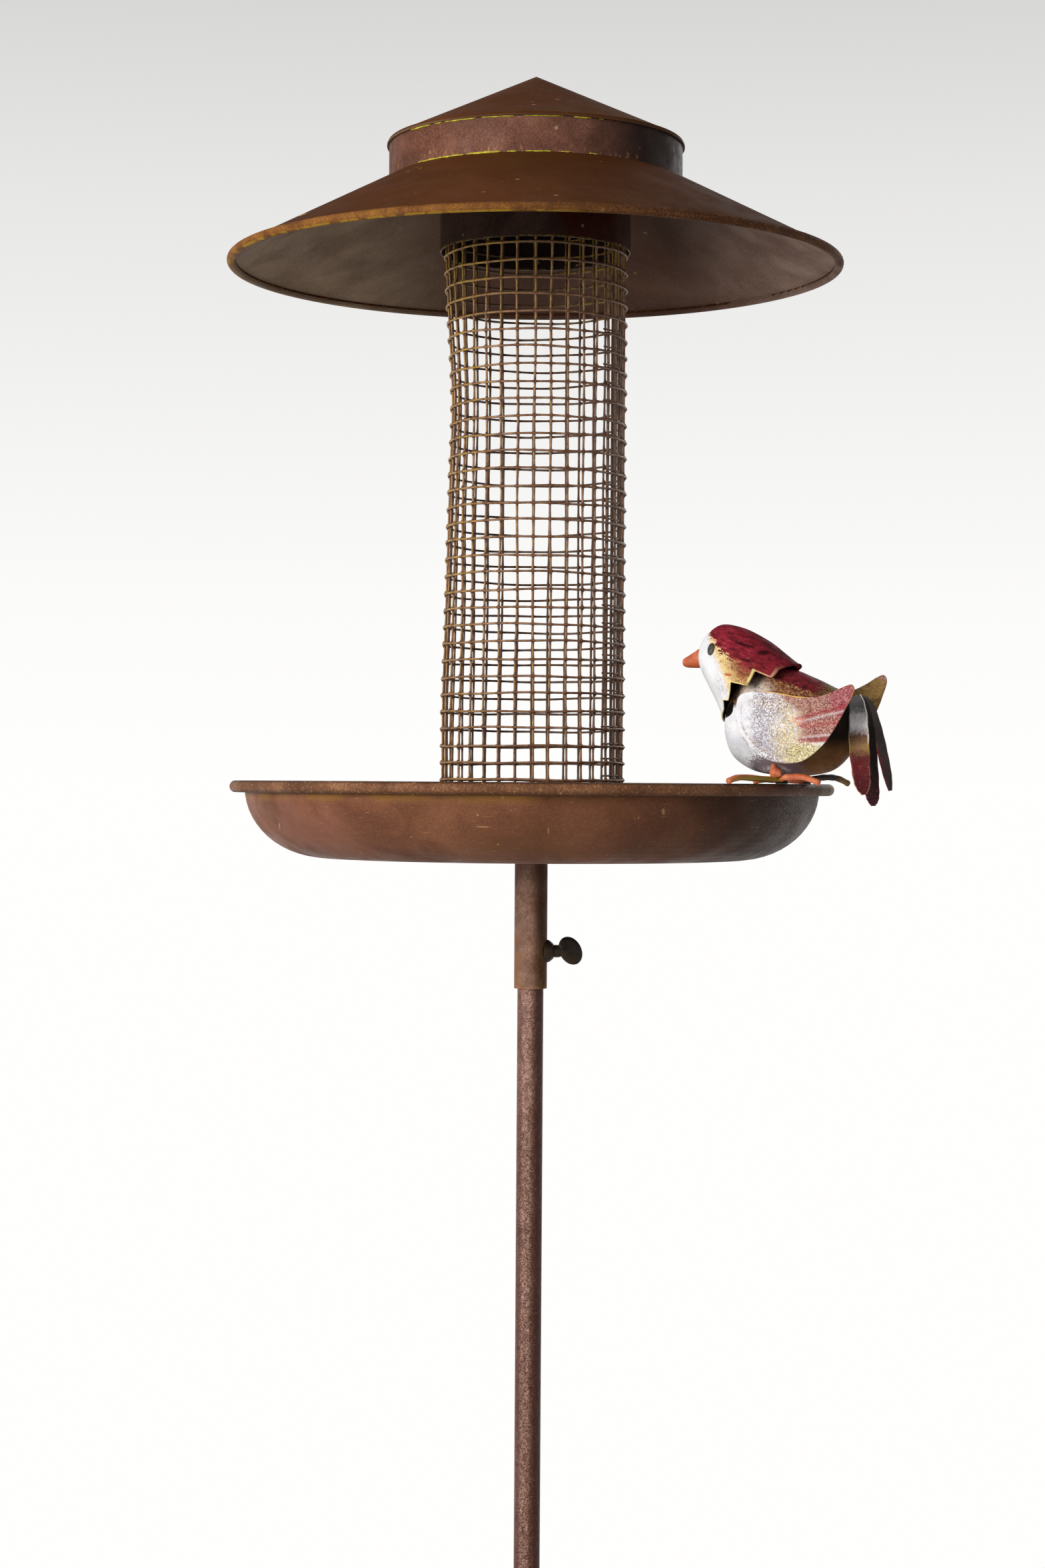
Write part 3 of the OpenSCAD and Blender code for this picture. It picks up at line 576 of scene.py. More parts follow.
class Shape:
    """Vertices and faces gathered for one mesh, and masks with a number for each vertex."""

    def __init__(self, verts=(), faces=(), masks=None):
        self.verts = list(verts)
        self.faces = list(faces)
        self.masks = masks or {}

    def tube(self, path, radii, sides=8, closed=False, start_side=(0, 0, 1)):
        """A round wire through the points of path. radii holds one radius for each point."""
        base, n = len(self.verts), len(path)
        points = [Vector(q) for q in path]
        side = Vector(start_side)
        for i, q in enumerate(points):
            ahead = points[(i + 1) % n] if closed or i < n - 1 else q
            behind = points[i - 1] if closed or i > 0 else q
            run = (ahead - behind).normalized()
            if i == 0 and abs(side.dot(run)) > 0.95:
                side = Vector((1, 0, 0))
            side = (side - run * side.dot(run)).normalized()
            up = run.cross(side)
            for a in turns(sides):
                self.verts.append(q + (side * math.cos(a) + up * math.sin(a)) * radii[i])
        for i in range(n if closed else n - 1):
            row, following = base + i * sides, base + (i + 1) % n * sides
            for k in range(sides):
                beyond = (k + 1) % sides
                self.faces.append((row + k, row + beyond, following + beyond, following + k))
        if not closed:
            self.close(base, base + (n - 1) * sides, sides, -1)

    def close(self, first, last, n, way):
        """Faces over the first and the last ring of n points, wound one way or the other."""
        self.faces.append(tuple(first + k for k in range(n))[::way])
        self.faces.append(tuple(last + k for k in range(n))[::-way])

    def rings(self, rings, cap=True):
        """A closed skin through rings with the same number of points."""
        base, n = len(self.verts), len(rings[0])
        for ring in rings:
            self.verts.extend(ring)
        for i in range(len(rings) - 1):
            for k in range(n):
                a, b = base + i * n + k, base + i * n + (k + 1) % n
                self.faces.append((a, a + n, b + n, b))
        if cap:
            self.close(base, base + (len(rings) - 1) * n, n, 1)


def piece(name, shape, body, look, replaces=(), place=None):
    """A mesh in mm, riding on a body. place sets where its own space stands."""
    mesh = bpy.data.meshes.new(name)
    mesh.from_pydata([tuple(c * MM for c in v) for v in shape.verts], [], shape.faces)
    mesh.polygons.foreach_set("use_smooth", [True] * len(mesh.polygons))
    for key, values in shape.masks.items():
        mesh.attributes.new(key, "FLOAT", "POINT").data.foreach_set("value", values)
    mesh.materials.append(look.mat)
    work = bmesh.new()
    work.from_mesh(mesh)
    bmesh.ops.recalc_face_normals(work, faces=work.faces)
    work.to_mesh(mesh)
    work.free()
    obj = shown(name, mesh)
    if place is not None:
        obj.matrix_world = place
    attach(obj, body)
    if replaces:
        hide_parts(*replaces)


def spline(a, b, c, d, t):
    """A smooth curve from b to c, at t from 0 to 1, as it goes on from a and towards d."""
    return [0.5 * (2 * q + (r - p) * t + (2 * p - 5 * q + 4 * r - s) * t * t
                   + (3 * q - p - 3 * r + s) * t ** 3) for p, q, r, s in zip(a, b, c, d)]


def along(rows, u):
    """The smooth curve through the rows, at u from 0 to the last row."""
    i = min(int(u), len(rows) - 2)
    return spline(rows[max(i - 1, 0)], rows[i], rows[i + 1], rows[min(i + 2, len(rows) - 1)], u - i)


def walk(rows, count):
    """Points of the smooth curve through the rows, in even steps."""
    return [along(rows, (len(rows) - 1) * k / count) for k in range(count + 1)]


def lookup(key, table):
    """Straight lines between the table's pairs."""
    if key <= table[0][0]:
        return table[0][1]
    for (a, b), (c, d) in zip(table, table[1:]):
        if key <= c:
            return b + (d - b) * (key - a) / (c - a)
    return table[-1][1]


def bell(d, width):
    return math.exp(-(d / width) ** 2)


def smooth(v, low, high):
    t = min(max((v - low) / (high - low), 0), 1)
    return t * t * (3 - 2 * t)


# The welded mesh: wires that wander a little, thicker at each weld, pressed in on the left
PRESS_DEPTHS = [(540, 0.0), (559, 0.65), (575, 1.15), (590, 1.45), (605, 1.8), (620, 2.2), (635, 2.7),
                (646, 3.15), (654, 3.2), (664, 2.7), (680, 1.65), (700, 0.6), (718, 0.0)]
STEPS_PER_CELL = 4
# The drawn wires are the painted wire's slimmer middle, and swell at each weld
DRAWN_R = 0.42
WELD_REACH = 0.9
WELD_SINK = 0.14
# The sheet's end laps over its start on the right, where a second layer of wires shows
LAP_FROM, LAP_TO = -38, 3
LAP_SHIFT = 1.5
LAP_UPRIGHTS = (-31.0, -24.0, -16.5, -3.0)
LAP_DEPTH = 1.9 * WIRE_D
LAP_HOOP_STEPS = 14
LAP_UPRIGHT_STEPS = 80
WELD_LEVELS = ((0.62, 0.55), (0.3, 1.0), (-0.3, 1.0), (-0.62, 0.55))
HOOP_LEAN = [RNG.uniform(0, math.tau) for _ in range(HOOPS)]
UPRIGHT_DRIFT = [[RNG.uniform(-0.8, 0.8) for _ in range(9)] for _ in range(UPRIGHTS)]


def pressed(angle, z):
    """How far the rolled mesh leans in from its true round, in mm, at an angle in degrees and a level."""
    return bell(angle % 360 - 180, 48) * sum(lookup(z + dz, PRESS_DEPTHS) for dz in (-6, 0, 6)) / 3


def on_mesh(radius, angle, z):
    a = math.radians(angle)
    r = radius - pressed(angle, z)
    return (r * math.cos(a), r * math.sin(a), z)


def hoop_z(i, angle):
    a = math.radians(angle)
    level = HOOP_START_Z + i * HOOP_PITCH + 0.2 * math.sin(a + HOOP_LEAN[i])
    return level + 0.16 * math.sin(3 * a + 2 * i) + 0.1 * math.sin(7 * a + 5 * i)


def upright_angle(i, z):
    """Where an upright stands at a level, with its drift to the sides."""
    u = (z - MESH_FOOT_Z) / (MESH_TOP_Z - MESH_FOOT_Z) * 8
    return UPRIGHT_PHASE + 360 * i / UPRIGHTS + along([[v] for v in UPRIGHT_DRIFT[i]], min(u, 7.999))[0]


def upright_wires():
    shape = Shape()
    count = HOOPS * STEPS_PER_CELL
    low, high = MESH_FOOT_Z + 0.6, MESH_TOP_Z - 0.3
    for i in range(UPRIGHTS):
        path, radii = [], []
        for k in range(count + 1):
            z = low + (high - low) * k / count
            cell = (z - HOOP_START_Z) / HOOP_PITCH
            weld = bell((cell - round(cell)) * HOOP_PITCH, WELD_REACH)
            path.append(on_mesh(UPRIGHT_R + WELD_SINK, upright_angle(i, z), z))
            radii.append(DRAWN_R + 0.1 * weld + 0.03 * math.sin(z * 0.9 + i * 2.1))
        shape.tube(path, radii, start_side=(1, 0, 0))
    return shape


def hoop_wires():
    shape = Shape()
    count = UPRIGHTS * STEPS_PER_CELL
    for i in range(HOOPS):
        path, radii = [], []
        for k in range(count):
            angle = UPRIGHT_PHASE + 360 * k / count
            cell = k / STEPS_PER_CELL
            weld = bell((cell - round(cell)) * HOOP_PITCH, WELD_REACH)
            bulge = 0.22 * bell((angle + 180) % 360 - 180, 5)
            path.append(on_mesh(HOOP_R - WELD_SINK + bulge, angle, hoop_z(i, angle)))
            radii.append(DRAWN_R - 0.01 + 0.08 * weld + 0.025 * math.sin(k * 1.7 + i))
        shape.tube(path, radii, closed=True)
    return shape


def lap_wires():
    """The second layer: the hoops' ends and four more uprights."""
    shape = Shape()
    for i in range(HOOPS - 1):
        first = LAP_FROM + RNG.uniform(-0.8, 0.8)
        level = hoop_z(i, first) + LAP_SHIFT + 0.5 * math.sin(i * 0.7)
        path = [on_mesh(UPRIGHT_R - WIRE_D, first + (LAP_TO - first) * k / LAP_HOOP_STEPS,
                        level + 0.25 * k / LAP_HOOP_STEPS) for k in range(LAP_HOOP_STEPS + 1)]
        shape.tube(path, [WIRE_D / 2 - 0.12] * len(path))
    low, high = MESH_FOOT_Z + 0.8, MESH_TOP_Z - 0.8
    for angle in LAP_UPRIGHTS:
        sway = [[RNG.uniform(-0.7, 0.7)] for _ in range(7)]
        path = [on_mesh(UPRIGHT_R - LAP_DEPTH, angle + along(sway, 5.99 * k / LAP_UPRIGHT_STEPS)[0],
                        low + (high - low) * k / LAP_UPRIGHT_STEPS) for k in range(LAP_UPRIGHT_STEPS + 1)]
        shape.tube(path, [WIRE_D / 2 + 0.04 * math.sin(k) for k in range(len(path))], start_side=(1, 0, 0))
    return shape


def weld_lumps():
    """A fillet of weld metal and paint fills the corners of each crossing."""
    shape = Shape()
    between = (UPRIGHT_R + HOOP_R) / 2
    for i in range(HOOPS):
        for j in range(UPRIGHTS):
            z = hoop_z(i, UPRIGHT_PHASE + 360 * j / UPRIGHTS)
            angle = upright_angle(j, z)
            reach = RNG.uniform(0.75, 1.15)
            waist = RNG.uniform(0.46, 0.62)
            outline = []
            for k, a in enumerate(turns(8)):
                d = reach * RNG.uniform(0.85, 1.15) if k % 2 == 0 else waist * 1.3
                outline.append((d * math.cos(a), d * math.sin(a)))
            shape.rings([[on_mesh(between + depth, angle + math.degrees(u * share / HOOP_R), z + v * share)
                          for u, v in outline] for depth, share in WELD_LEVELS])
    return shape


piece("mesh_upright_wires", upright_wires(), "feeder", WIRE, ["mesh_uprights"])
piece("mesh_hoop_wires", hoop_wires(), "feeder", WIRE, ["mesh_hoops"])
piece("mesh_lap_wires", lap_wires(), "feeder", WIRE)
piece("mesh_welds", weld_lumps(), "feeder", WIRE)

# The thumb screw's oval plate stands askew on its neck, and black weld metal ramps up to the nut
PLATE_AT = Vector((15.0, 0, SCREW_Z + 0.2))
PLATE_HALF = (4.3, 5.6)
PLATE_THICK = 1.0
PLATE_LEAN, PLATE_TWIST = -30, 20
# The plate's rounded edge: shares of its half size and of its thickness
PLATE_EDGE = [(0.55, 1.0), (0.8, 0.92), (0.93, 0.7), (0.99, 0.38), (1.0, 0.0)]
NECK_FROM, NECK_STEP = 10.72, 0.35
NECK_RADII = [2.3, 2.2, 2.05, 2.0, 2.0, 2.0, 2.0, 1.8, 1.4]
SCREW_AROUND = 48
# Places along X and radii
NUT = [(4.9, 4.5), (5.9, 4.4), (6.6, 4.25), (7.2, 3.95), (7.8, 3.5), (8.3, 3.0), (8.6, 2.75), (8.6, 2.42),
       (5.2, 2.42), (4.9, 4.5)]


def plate_shape():
    turn = (Matrix.Rotation(math.radians(PLATE_LEAN), 3, "Y")
            @ Matrix.Rotation(math.radians(PLATE_TWIST), 3, "Z"))
    profile = PLATE_EDGE + [(r, -t) for r, t in reversed(PLATE_EDGE[:-1])]
    rings = []
    for r, t in profile:
        # The face is dished by the thumb
        dish = 0.22 * bell(r, 0.5)
        depth = t * PLATE_THICK - (dish if t > 0 else -dish)
        rings.append([PLATE_AT + turn @ Vector((PLATE_HALF[0] * r * math.cos(a), -depth,
                                                PLATE_HALF[1] * r * math.sin(a)))
                      for a in turns(SCREW_AROUND)])
    shape = Shape()
    shape.rings(rings)
    neck = [(NECK_FROM + NECK_STEP * k, 0, SCREW_Z) for k in range(len(NECK_RADII))]
    shape.tube(neck, NECK_RADII, sides=24)
    return shape


def nut_shape():
    shape = Shape()
    shape.rings([[(x, r * (1 + 0.02 * math.sin(5 * a) * (x < 7)) * math.cos(a), SCREW_Z + r * math.sin(a))
                  for a in turns(SCREW_AROUND)] for x, r in NUT], cap=False)
    return shape


piece("thumb_plate_oval", plate_shape(), "thumb", SCREW, ["thumb_screw_plate"])
piece("nut_and_weld", nut_shape(), "feeder", SCREW, ["weld_nut"])

# Slivers of yellow primer in the crown's two seams: start and end in degrees, and thickness
UPPER_SEAM = (55.45, 747.72)
UPPER_SLIVERS = ((-146, -134, 0.36), (-132, -128, 0.2), (-127, -113, 0.3), (-111, -98, 0.26),
                 (-95, -79, 0.2), (-76, -69, 0.34), (-66, -64, 0.16))
LOWER_SEAM = (55.5, 735.0)
LOWER_SLIVERS = ((-141, -118, 0.3), (-117, -103, 0.38), (-101, -97, 0.3), (-94, -84, 0.24),
                 (-81, -77, 0.18), (-70, -66, 0.16))
SLIVER_GROWTH = 1.35
SLIVER_STEP = 1.2


def seam_arc(shape, radius, z, start, end, thick):
    """A sliver, thicker and thinner along its length, and thin at its ends."""
    count = max(int(abs(end - start) / SLIVER_STEP), 6)
    path, radii = [], []
    for k in range(count + 1):
        f = k / count
        a = math.radians(start + (end - start) * f)
        path.append((radius * math.cos(a), radius * math.sin(a), z + 0.05 * math.sin(k * 1.3)))
        swell = 0.75 + 0.35 * math.sin(k * 2.1)
        radii.append(thick * (0.25 + 0.75 * math.sin(math.pi * f) ** 0.5 * swell))
    shape.tube(path, radii)


slivers = Shape()
for seam, parts in ((UPPER_SEAM, UPPER_SLIVERS), (LOWER_SEAM, LOWER_SLIVERS)):
    for start, end, thick in parts:
        seam_arc(slivers, *seam, start, end, SLIVER_GROWTH * thick)
piece("crown_seam_primer", slivers, "roof", sliver_material())

# The painted tin bird stands in its own space: it faces -X and its pads rest at the origin
PERCH_TURN = math.radians(PERCH_ANGLE)
PERCH_AT = [PERCH_R * MM * math.cos(PERCH_TURN), PERCH_R * MM * math.sin(PERCH_TURN), PERCH_Z * MM]
PERCH = Matrix.Translation(PERCH_AT) @ Matrix.Rotation(math.radians(BIRD_TURN), 4, "Z")
# Place along X, lowest point, highest point and half width
BODY_ROWS = [[-22, 18, 22, 2.5], [-21.2, 13.5, 27.4, 7], [-18.8, 8.6, 34, 10.8], [-13, 5, 40, 13.6],
             [-5, 3, 42.6, 15], [4, 2.6, 40.2, 15.4], [12, 3.2, 36.8, 14.2], [19, 6.2, 33.6, 11.2],
             [23.5, 11.5, 31, 7.5], [25, 18, 26, 2.5]]
BEAK_ROWS = [[-31.8, 41.8, 48.6, 2.9], [-33, 41.5, 48.4, 2.8], [-35, 41.5, 47.2, 2.3], [-37, 41.6, 46, 1.75],
             [-38.4, 41.9, 45.2, 1.3], [-39.1, 42.4, 44.7, 0.9], [-39.4, 43.1, 44.1, 0.35]]
# Steps along each form, and points around it
BODY_STEPS, BODY_AROUND = 84, 90
BEAK_STEPS, BEAK_AROUND = 30, 28
# X and Z of the top, X and Z of the lowest point, and half width
HOOD_ROWS = [[-32.6, 46.4, -32.8, 43.4, 1.5], [-31.9, 50.1, -32.1, 41, 4.4], [-29.1, 54, -30.4, 37.6, 7.9],
             [-24, 57, -27.4, 32.4, 10.9], [-16, 55.5, -25, 27.6, 13], [-8, 51.4, -23.9, 25, 14.6],
             [-0.8, 46, -23.4, 23.4, 15.8], [5, 41.5, -23, 22.2, 16.6]]
# Degrees from the top and the row where the torn rear edge stands
HOOD_TEETH = [(0, 7), (9, 6.8), (28, 6.65), (43, 6.6), (58, 6.9), (66, 5.9), (86, 6.3), (98, 5.15),
              (118, 5.95), (126, 5.3), (136, 6.15), (165, 6.7), (180, 7)]
HOOD_TURNS = sorted({*range(0, 360, 3), *(t for t, _ in HOOD_TEETH), *(360 - t for t, _ in HOOD_TEETH if t)})
HOOD_FROM = 0.02
HOOD_STEPS = [HOOD_FROM + (1 - HOOD_FROM) * (k / 44) ** 0.9 for k in range(45)]
TURNED_OUT = 0.55
# X and Z of the wing's outline, from the front round the top
WING_ROWS = [[-14.8, 26], [-13.4, 31], [-7, 32.4], [1, 31.8], [9, 30.4], [16, 30.2], [21.6, 31.8], [26, 33.8],
             [28.6, 34.3], [29.4, 31.8], [27, 26.6], [24.4, 21.8], [21.2, 16.8], [17, 12.2], [11, 8.2],
             [4.6, 7.2], [-2, 8.4], [-7.8, 11.6], [-12.4, 16.6], [-14.6, 21.4]]
WING_SHARES = [0.05, 0.16, 0.27, 0.37, 0.46, 0.54, 0.61, 0.67, 0.72, 0.765, 0.8, 0.83, 0.855, 0.88, 0.9, 0.92,
               0.938, 0.955, 0.97, 0.983, 0.993, 1.0]
WING_MID = (4, 20.5)
WING_AROUND = 180
BORDER_WIDTH = 2.2
# Lines pressed into the wing: X and Z of both ends, width, and height or depth
RIDGES = (((12.5, 22.5, 26, 25.2), 0.7, 0.5), ((13, 16.5, 22, 17), 0.65, 0.42))
GROOVES = (((13, 24.4, 26, 27.4), 0.8, 0.3), ((13.5, 14.8, 20.5, 15.2), 0.7, 0.25))
# The right wing is bent outwards at its root
WING_ROOT = Vector((-12, 13.2, 22))
BEND = (Matrix.Translation(WING_ROOT + Vector((2.6, 0.9, 0))) @ Matrix.Rotation(math.radians(6), 4, "Z")
        @ Matrix.Rotation(math.radians(-7), 4, "Y") @ Matrix.Translation(-WING_ROOT))
# Middle of the strip and half width
TAIL_LEFT = [[24.4, -2.6, 30.7, 1.6], [26.2, -4.6, 30, 2.3], [27.6, -6.6, 24.6, 3.3], [28.2, -7, 14, 3.7],
             [29, -7, 4, 3.3], [29.7, -7, -0.6, 2.7], [30.2, -7, -3.6, 1.0]]
TAIL_MIDDLE = [[25, 0, 30.2, 1.5], [26.9, 0.6, 28.4, 2.1], [28.8, 1.4, 20, 2.6], [29.8, 1.8, 8, 2.7],
               [30.5, 2, -2, 2.6], [30.9, 2, -5.6, 2.0], [31, 2, -7.6, 0.7]]
TAIL_RIGHT = [[24.6, 2.8, 30.2, 1.4], [27, 4.6, 29.4, 1.9], [28.8, 6, 26, 2.3], [31, 7, 18.6, 2.4],
              [33, 8, 9.6, 2.3], [34.5, 8.4, 2.6, 1.9], [35.4, 8.6, -2.2, 0.7]]
FOOT_Z = 1.22
FOOT_R = 1.1
LEFT_TOES = [[-11.4, -33.2, FOOT_Z - 0.5], [-8.4, -27.4, FOOT_Z + 0.9], [-2.2, -8.5, FOOT_Z + 0.2],
             [2.4, -8.8, FOOT_Z + 1.1], [8.3, -8.6, FOOT_Z + 1.2], [14.6, -8.6, FOOT_Z - 0.9]]
RIGHT_TOES = [[-15.5, 10.4, FOOT_Z - 0.6], [-10.9, 9.5, FOOT_Z + 0.3], [2, 11.1, FOOT_Z],
              [8.6, 14.7, FOOT_Z + 1.1], [13.2, 18.1, FOOT_Z + 0.9], [17, 20.8, FOOT_Z - 1.2]]
LEFT_LEG, RIGHT_LEG = (-2.2, -8.5), (2, 11.1)
LEG_TALL = 7.2
TOE_STEPS, LEG_STEPS = 60, 12
FOOT_SIDES = 14
# Middle, half size and seed of the weld metal at each leg
LEG_WELDS = (((-1.4, -9.4, 3.9), (2.3, 1.7, 1.9), 1), ((2.0, 11.6, 3.9), (2.0, 1.7, 1.8), 5))
# X and Z of the eyes on the hood, and an eye's half length, half height and thickness
EYE_AT = (-25.4, 47.5)
EYE_HALF = (1.5, 2.3, 0.55)
# Steps from top to bottom and points around of a lump of weld metal and of an eye
WELD_MESH, EYE_MESH = (14, 22), (12, 24)
# X and Z of the knob's axis and how far it sways, then place along Y, turn in radians and radius
KNOB_X, KNOB_Z, KNOB_SWAY = 3.5, 41.7, 0.5
KNOB = ((-2.6, 0.2, 0.5), (-1.7, 0.0, 0.95), (-0.8, -0.2, 1.15), (0.2, -0.1, 1.1), (1.2, 0.1, 0.9),
        (2.2, 0.3, 0.5))


def dent(point, size, depth):
    """A lazy unevenness of hand-bent tin."""
    return depth * noise.noise(Vector(point) / size)


def hood_point(u, a, shrink=0.0):
    x0, z0, x1, z1, half_w = along(HOOD_ROWS, u)
    top, low = Vector((x0, z0)), Vector((x1, z1))
    mid, tall = (top + low) / 2, (top - low).length / 2 - shrink
    up = (top - low).normalized()
    a = math.radians(a)
    return (mid.x + up.x * tall * math.cos(a), (half_w - shrink) * math.sin(a),
            mid.y + up.y * tall * math.cos(a))


def hood_skin(f, a, shrink):
    """A point of the hood's outer or inner face; the rear edge is turned out a little."""
    end = lookup(360 - a if a > 180 else a, HOOD_TEETH)
    flare = TURNED_OUT * smooth(f, 0.82, 1.0) * (0.4 + 0.6 * abs(math.sin(math.radians(a))))
    p = hood_point(f * end, a, shrink - flare)
    return tuple(c + dent((p[0], p[1], p[2] + 9 * k), 7, 0.22) for k, c in enumerate(p))


def hood_shape():
    """A shell of sheet, with masks for its rear edge and its inside."""
    rows = [(f, 0.0, smooth(f, 0.955, 1.0), 0.0) for f in HOOD_STEPS] + [(1.012, TIN / 2, 1.0, 0.0)]
    rows += [(f, TIN, 1.0, 1.0) for f in reversed(HOOD_STEPS[4:])]
    edge, inside = [[row[i] for row in rows for _ in HOOD_TURNS] for i in (2, 3)]
    shape = Shape(masks={"edge": edge, "inside": inside})
    shape.rings([[hood_skin(f, a, shrink) for a in HOOD_TURNS] for f, shrink, _, _ in rows])
    return shape


def knob_shape():
    """A tag of the hood's sheet is rolled into a knob at the top of its rear edge."""
    shape = Shape()
    shape.tube([(KNOB_X + KNOB_SWAY * math.cos(t), y, KNOB_Z + KNOB_SWAY * math.sin(t)) for y, t, _ in KNOB],
               [r for _, _, r in KNOB], sides=16)
    plain = [0.0] * len(shape.verts)
    shape.masks = {"edge": plain, "inside": plain}
    return shape


def oval_point(row, a):
    """A point on the upright oval that a row of the body or the beak stands for."""
    x, low, high, half_w = row
    return (x, half_w * math.sin(a), (low + high) / 2 + (high - low) / 2 * math.cos(a))


def body_skin(row, a):
    p = Vector(oval_point(row, a))
    return p + Vector((0, math.sin(a), math.cos(a))) * (dent(p, 8, 0.3) - 0.15)


def body_shape():
    """A closed shell, with a mask for the gap under the hood's edge, where shade is painted."""
    shape = Shape()
    shape.rings([[body_skin(row, a) for a in turns(BODY_AROUND)] for row in walk(BODY_ROWS, BODY_STEPS)])
    rim = KDTree(len(HOOD_TURNS))
    for k, a in enumerate(HOOD_TURNS):
        rim.insert(Vector(hood_skin(1.0, a, 0.0)), k)
    rim.balance()
    gap = []
    for v in shape.verts:
        wide = 0.8 + 3.0 * smooth(abs(v.y), 7, 10) * smooth(v.x, -7, -11) * smooth(v.z, 21, 25)
        gap.append(smooth(rim.find(v)[2], wide + 0.5, wide - 0.5))
    shape.masks = {"gap": gap}
    return shape


def beside(x, z, x0, z0, x1, z1):
    """How far a point of a side view lies from a straight line between two points."""
    run, to = Vector((x1 - x0, z1 - z0)), Vector((x - x0, z - z0))
    t = min(max(to.dot(run) / run.length_squared, 0), 1)
    return (to - run * t).length


def bordered(x, z):
    """1 where the wing's border is rolled: round the front and the bottom."""
    return smooth(x, 15, 2) * smooth(z, 31, 26)


def pressed_lines(x, z, lines):
    return sum(tall * bell(beside(x, z, *ends), width) for ends, width, tall in lines)


def wing_relief(x, z, inward):
    """Two pressed ridges, each with a groove beside it, and a rolled border."""
    border = 0.75 * smooth(inward, BORDER_WIDTH, 4.6) - 0.25 * bell(inward - BORDER_WIDTH, 0.45)
    high = pressed_lines(x, z, RIDGES) - pressed_lines(x, z, GROOVES) + bordered(x, z) * border
    return high + 0.15 * noise.noise(Vector((x, z, 3)) / 3.5)


def wing_out(x, z):
    """How far from the bird's middle the wing's curved sheet stands."""
    return 15.9 + 0.18 * x - 0.003 * x * x + 1.2 * (1 - ((z - WING_MID[1]) / 13) ** 2)


def wing_shape():
    """The right wing before its bend, with masks for its edge and its border's groove."""
    edge, groove, outline, rings = [], [], [], []
    n = len(WING_ROWS)
    for j in range(WING_AROUND):
        u = n * j / WING_AROUND
        i = int(u)
        outline.append(spline(*[WING_ROWS[(i + k) % n] for k in (-1, 0, 1, 2)], u - i))
    for f, side in [(f, 1) for f in WING_SHARES] + [(1.008, 0)] + [(f, -1) for f in reversed(WING_SHARES)]:
        ring = []
        for px, pz in outline:
            dx, dz = px - WING_MID[0], pz - WING_MID[1]
            x, z = WING_MID[0] + f * dx, WING_MID[1] + f * dz
            inward = (1 - min(f, 1)) * math.hypot(dx, dz)
            ring.append((x, wing_out(x, z) + wing_relief(x, z, inward) + side * TIN / 2, z))
            edge.append(smooth(inward, 0.7, 0.1) if side >= 0 else 0.0)
            groove.append(bell(inward - BORDER_WIDTH, 0.5) * bordered(x, z) if side > 0 else 0.0)
        rings.append(ring)
    shape = Shape(masks={"edge": edge, "groove": groove})
    shape.rings(rings)
    return shape


def tail_shape(rows, turn, count=44):
    """A strip that hangs down, with a mask that runs from -1 at its left edge to 1 at its right."""
    edge, rings = [], []
    last = len(rows) - 1
    section = [(v, 1) for v in (-1, -0.8, -0.4, 0, 0.4, 0.8, 1)] + [(1.03, 0)]
    section += [(-v, -side) for v, side in section]
    for k in range(count + 1):
        u = last * k / count
        *middle, half_w = along(rows, u)
        half_w *= 1 + 0.03 * math.sin(k * 1.3 + turn)
        ahead, behind = [Vector(along(rows, min(max(0, v), last))[:3]) for v in (u + 0.05, u - 0.05)]
        run = (ahead - behind).normalized()
        t = math.radians(turn + 1.5 * u)
        flat = Vector((math.cos(t), math.sin(t), 0))
        across = (flat - run * flat.dot(run)).normalized()
        out = across.cross(run)
        rings.append([Vector(middle) + across * (v * half_w) + out * (0.25 * (1 - v * v) + side * TIN / 2)
                      for v, side in section])
        edge += [smooth(abs(v) * half_w, half_w - 0.5, half_w - 0.1) * (-1 if v < 0 else 1)
                 for v, _ in section]
    shape = Shape(masks={"edge": edge})
    shape.rings(rings)
    return shape


def feet_shape():
    """Two toe wires, slimmer at their ends, and a leg on each."""
    shape = Shape()
    for toes, leg in ((LEFT_TOES, LEFT_LEG), (RIGHT_TOES, RIGHT_LEG)):
        shape.tube(walk(toes, TOE_STEPS),
                   [FOOT_R + 0.05 * math.sin(k * 0.9) - 0.25 * (bell(k, 0.8) + bell(k - TOE_STEPS, 0.8))
                    for k in range(TOE_STEPS + 1)], sides=FOOT_SIDES)
        shape.tube([(*leg, FOOT_Z + LEG_TALL * k / LEG_STEPS) for k in range(LEG_STEPS + 1)],
                   [FOOT_R + 0.12 * math.sin(k) for k in range(LEG_STEPS + 1)], sides=FOOT_SIDES)
    return shape


def ball(rows, around, place):
    """Rings of a round form from end to end. place gives the point for two angles."""
    return [[place(math.pi * i / rows, a) for a in turns(around)] for i in range(1, rows)]


def blob(shape, centre, size, seed):
    """A lump of weld metal."""
    def place(lat, lon):
        way = Vector((math.sin(lat) * math.cos(lon), math.sin(lat) * math.sin(lon), math.cos(lat)))
        bulge = 1 + 0.16 * noise.noise(way * 1.7 + Vector((seed, 0, 0)))
        return Vector(centre) + Vector(tuple(w * s * bulge for w, s in zip(way, size)))
    shape.rings(ball(*WELD_MESH, place))


def leg_welds():
    shape = Shape()
    for weld in LEG_WELDS:
        blob(shape, *weld)
    return shape


def beak_shape():
    shape = Shape()
    shape.rings([[oval_point(row, a) for a in turns(BEAK_AROUND)] for row in walk(BEAK_ROWS, BEAK_STEPS)])
    return shape


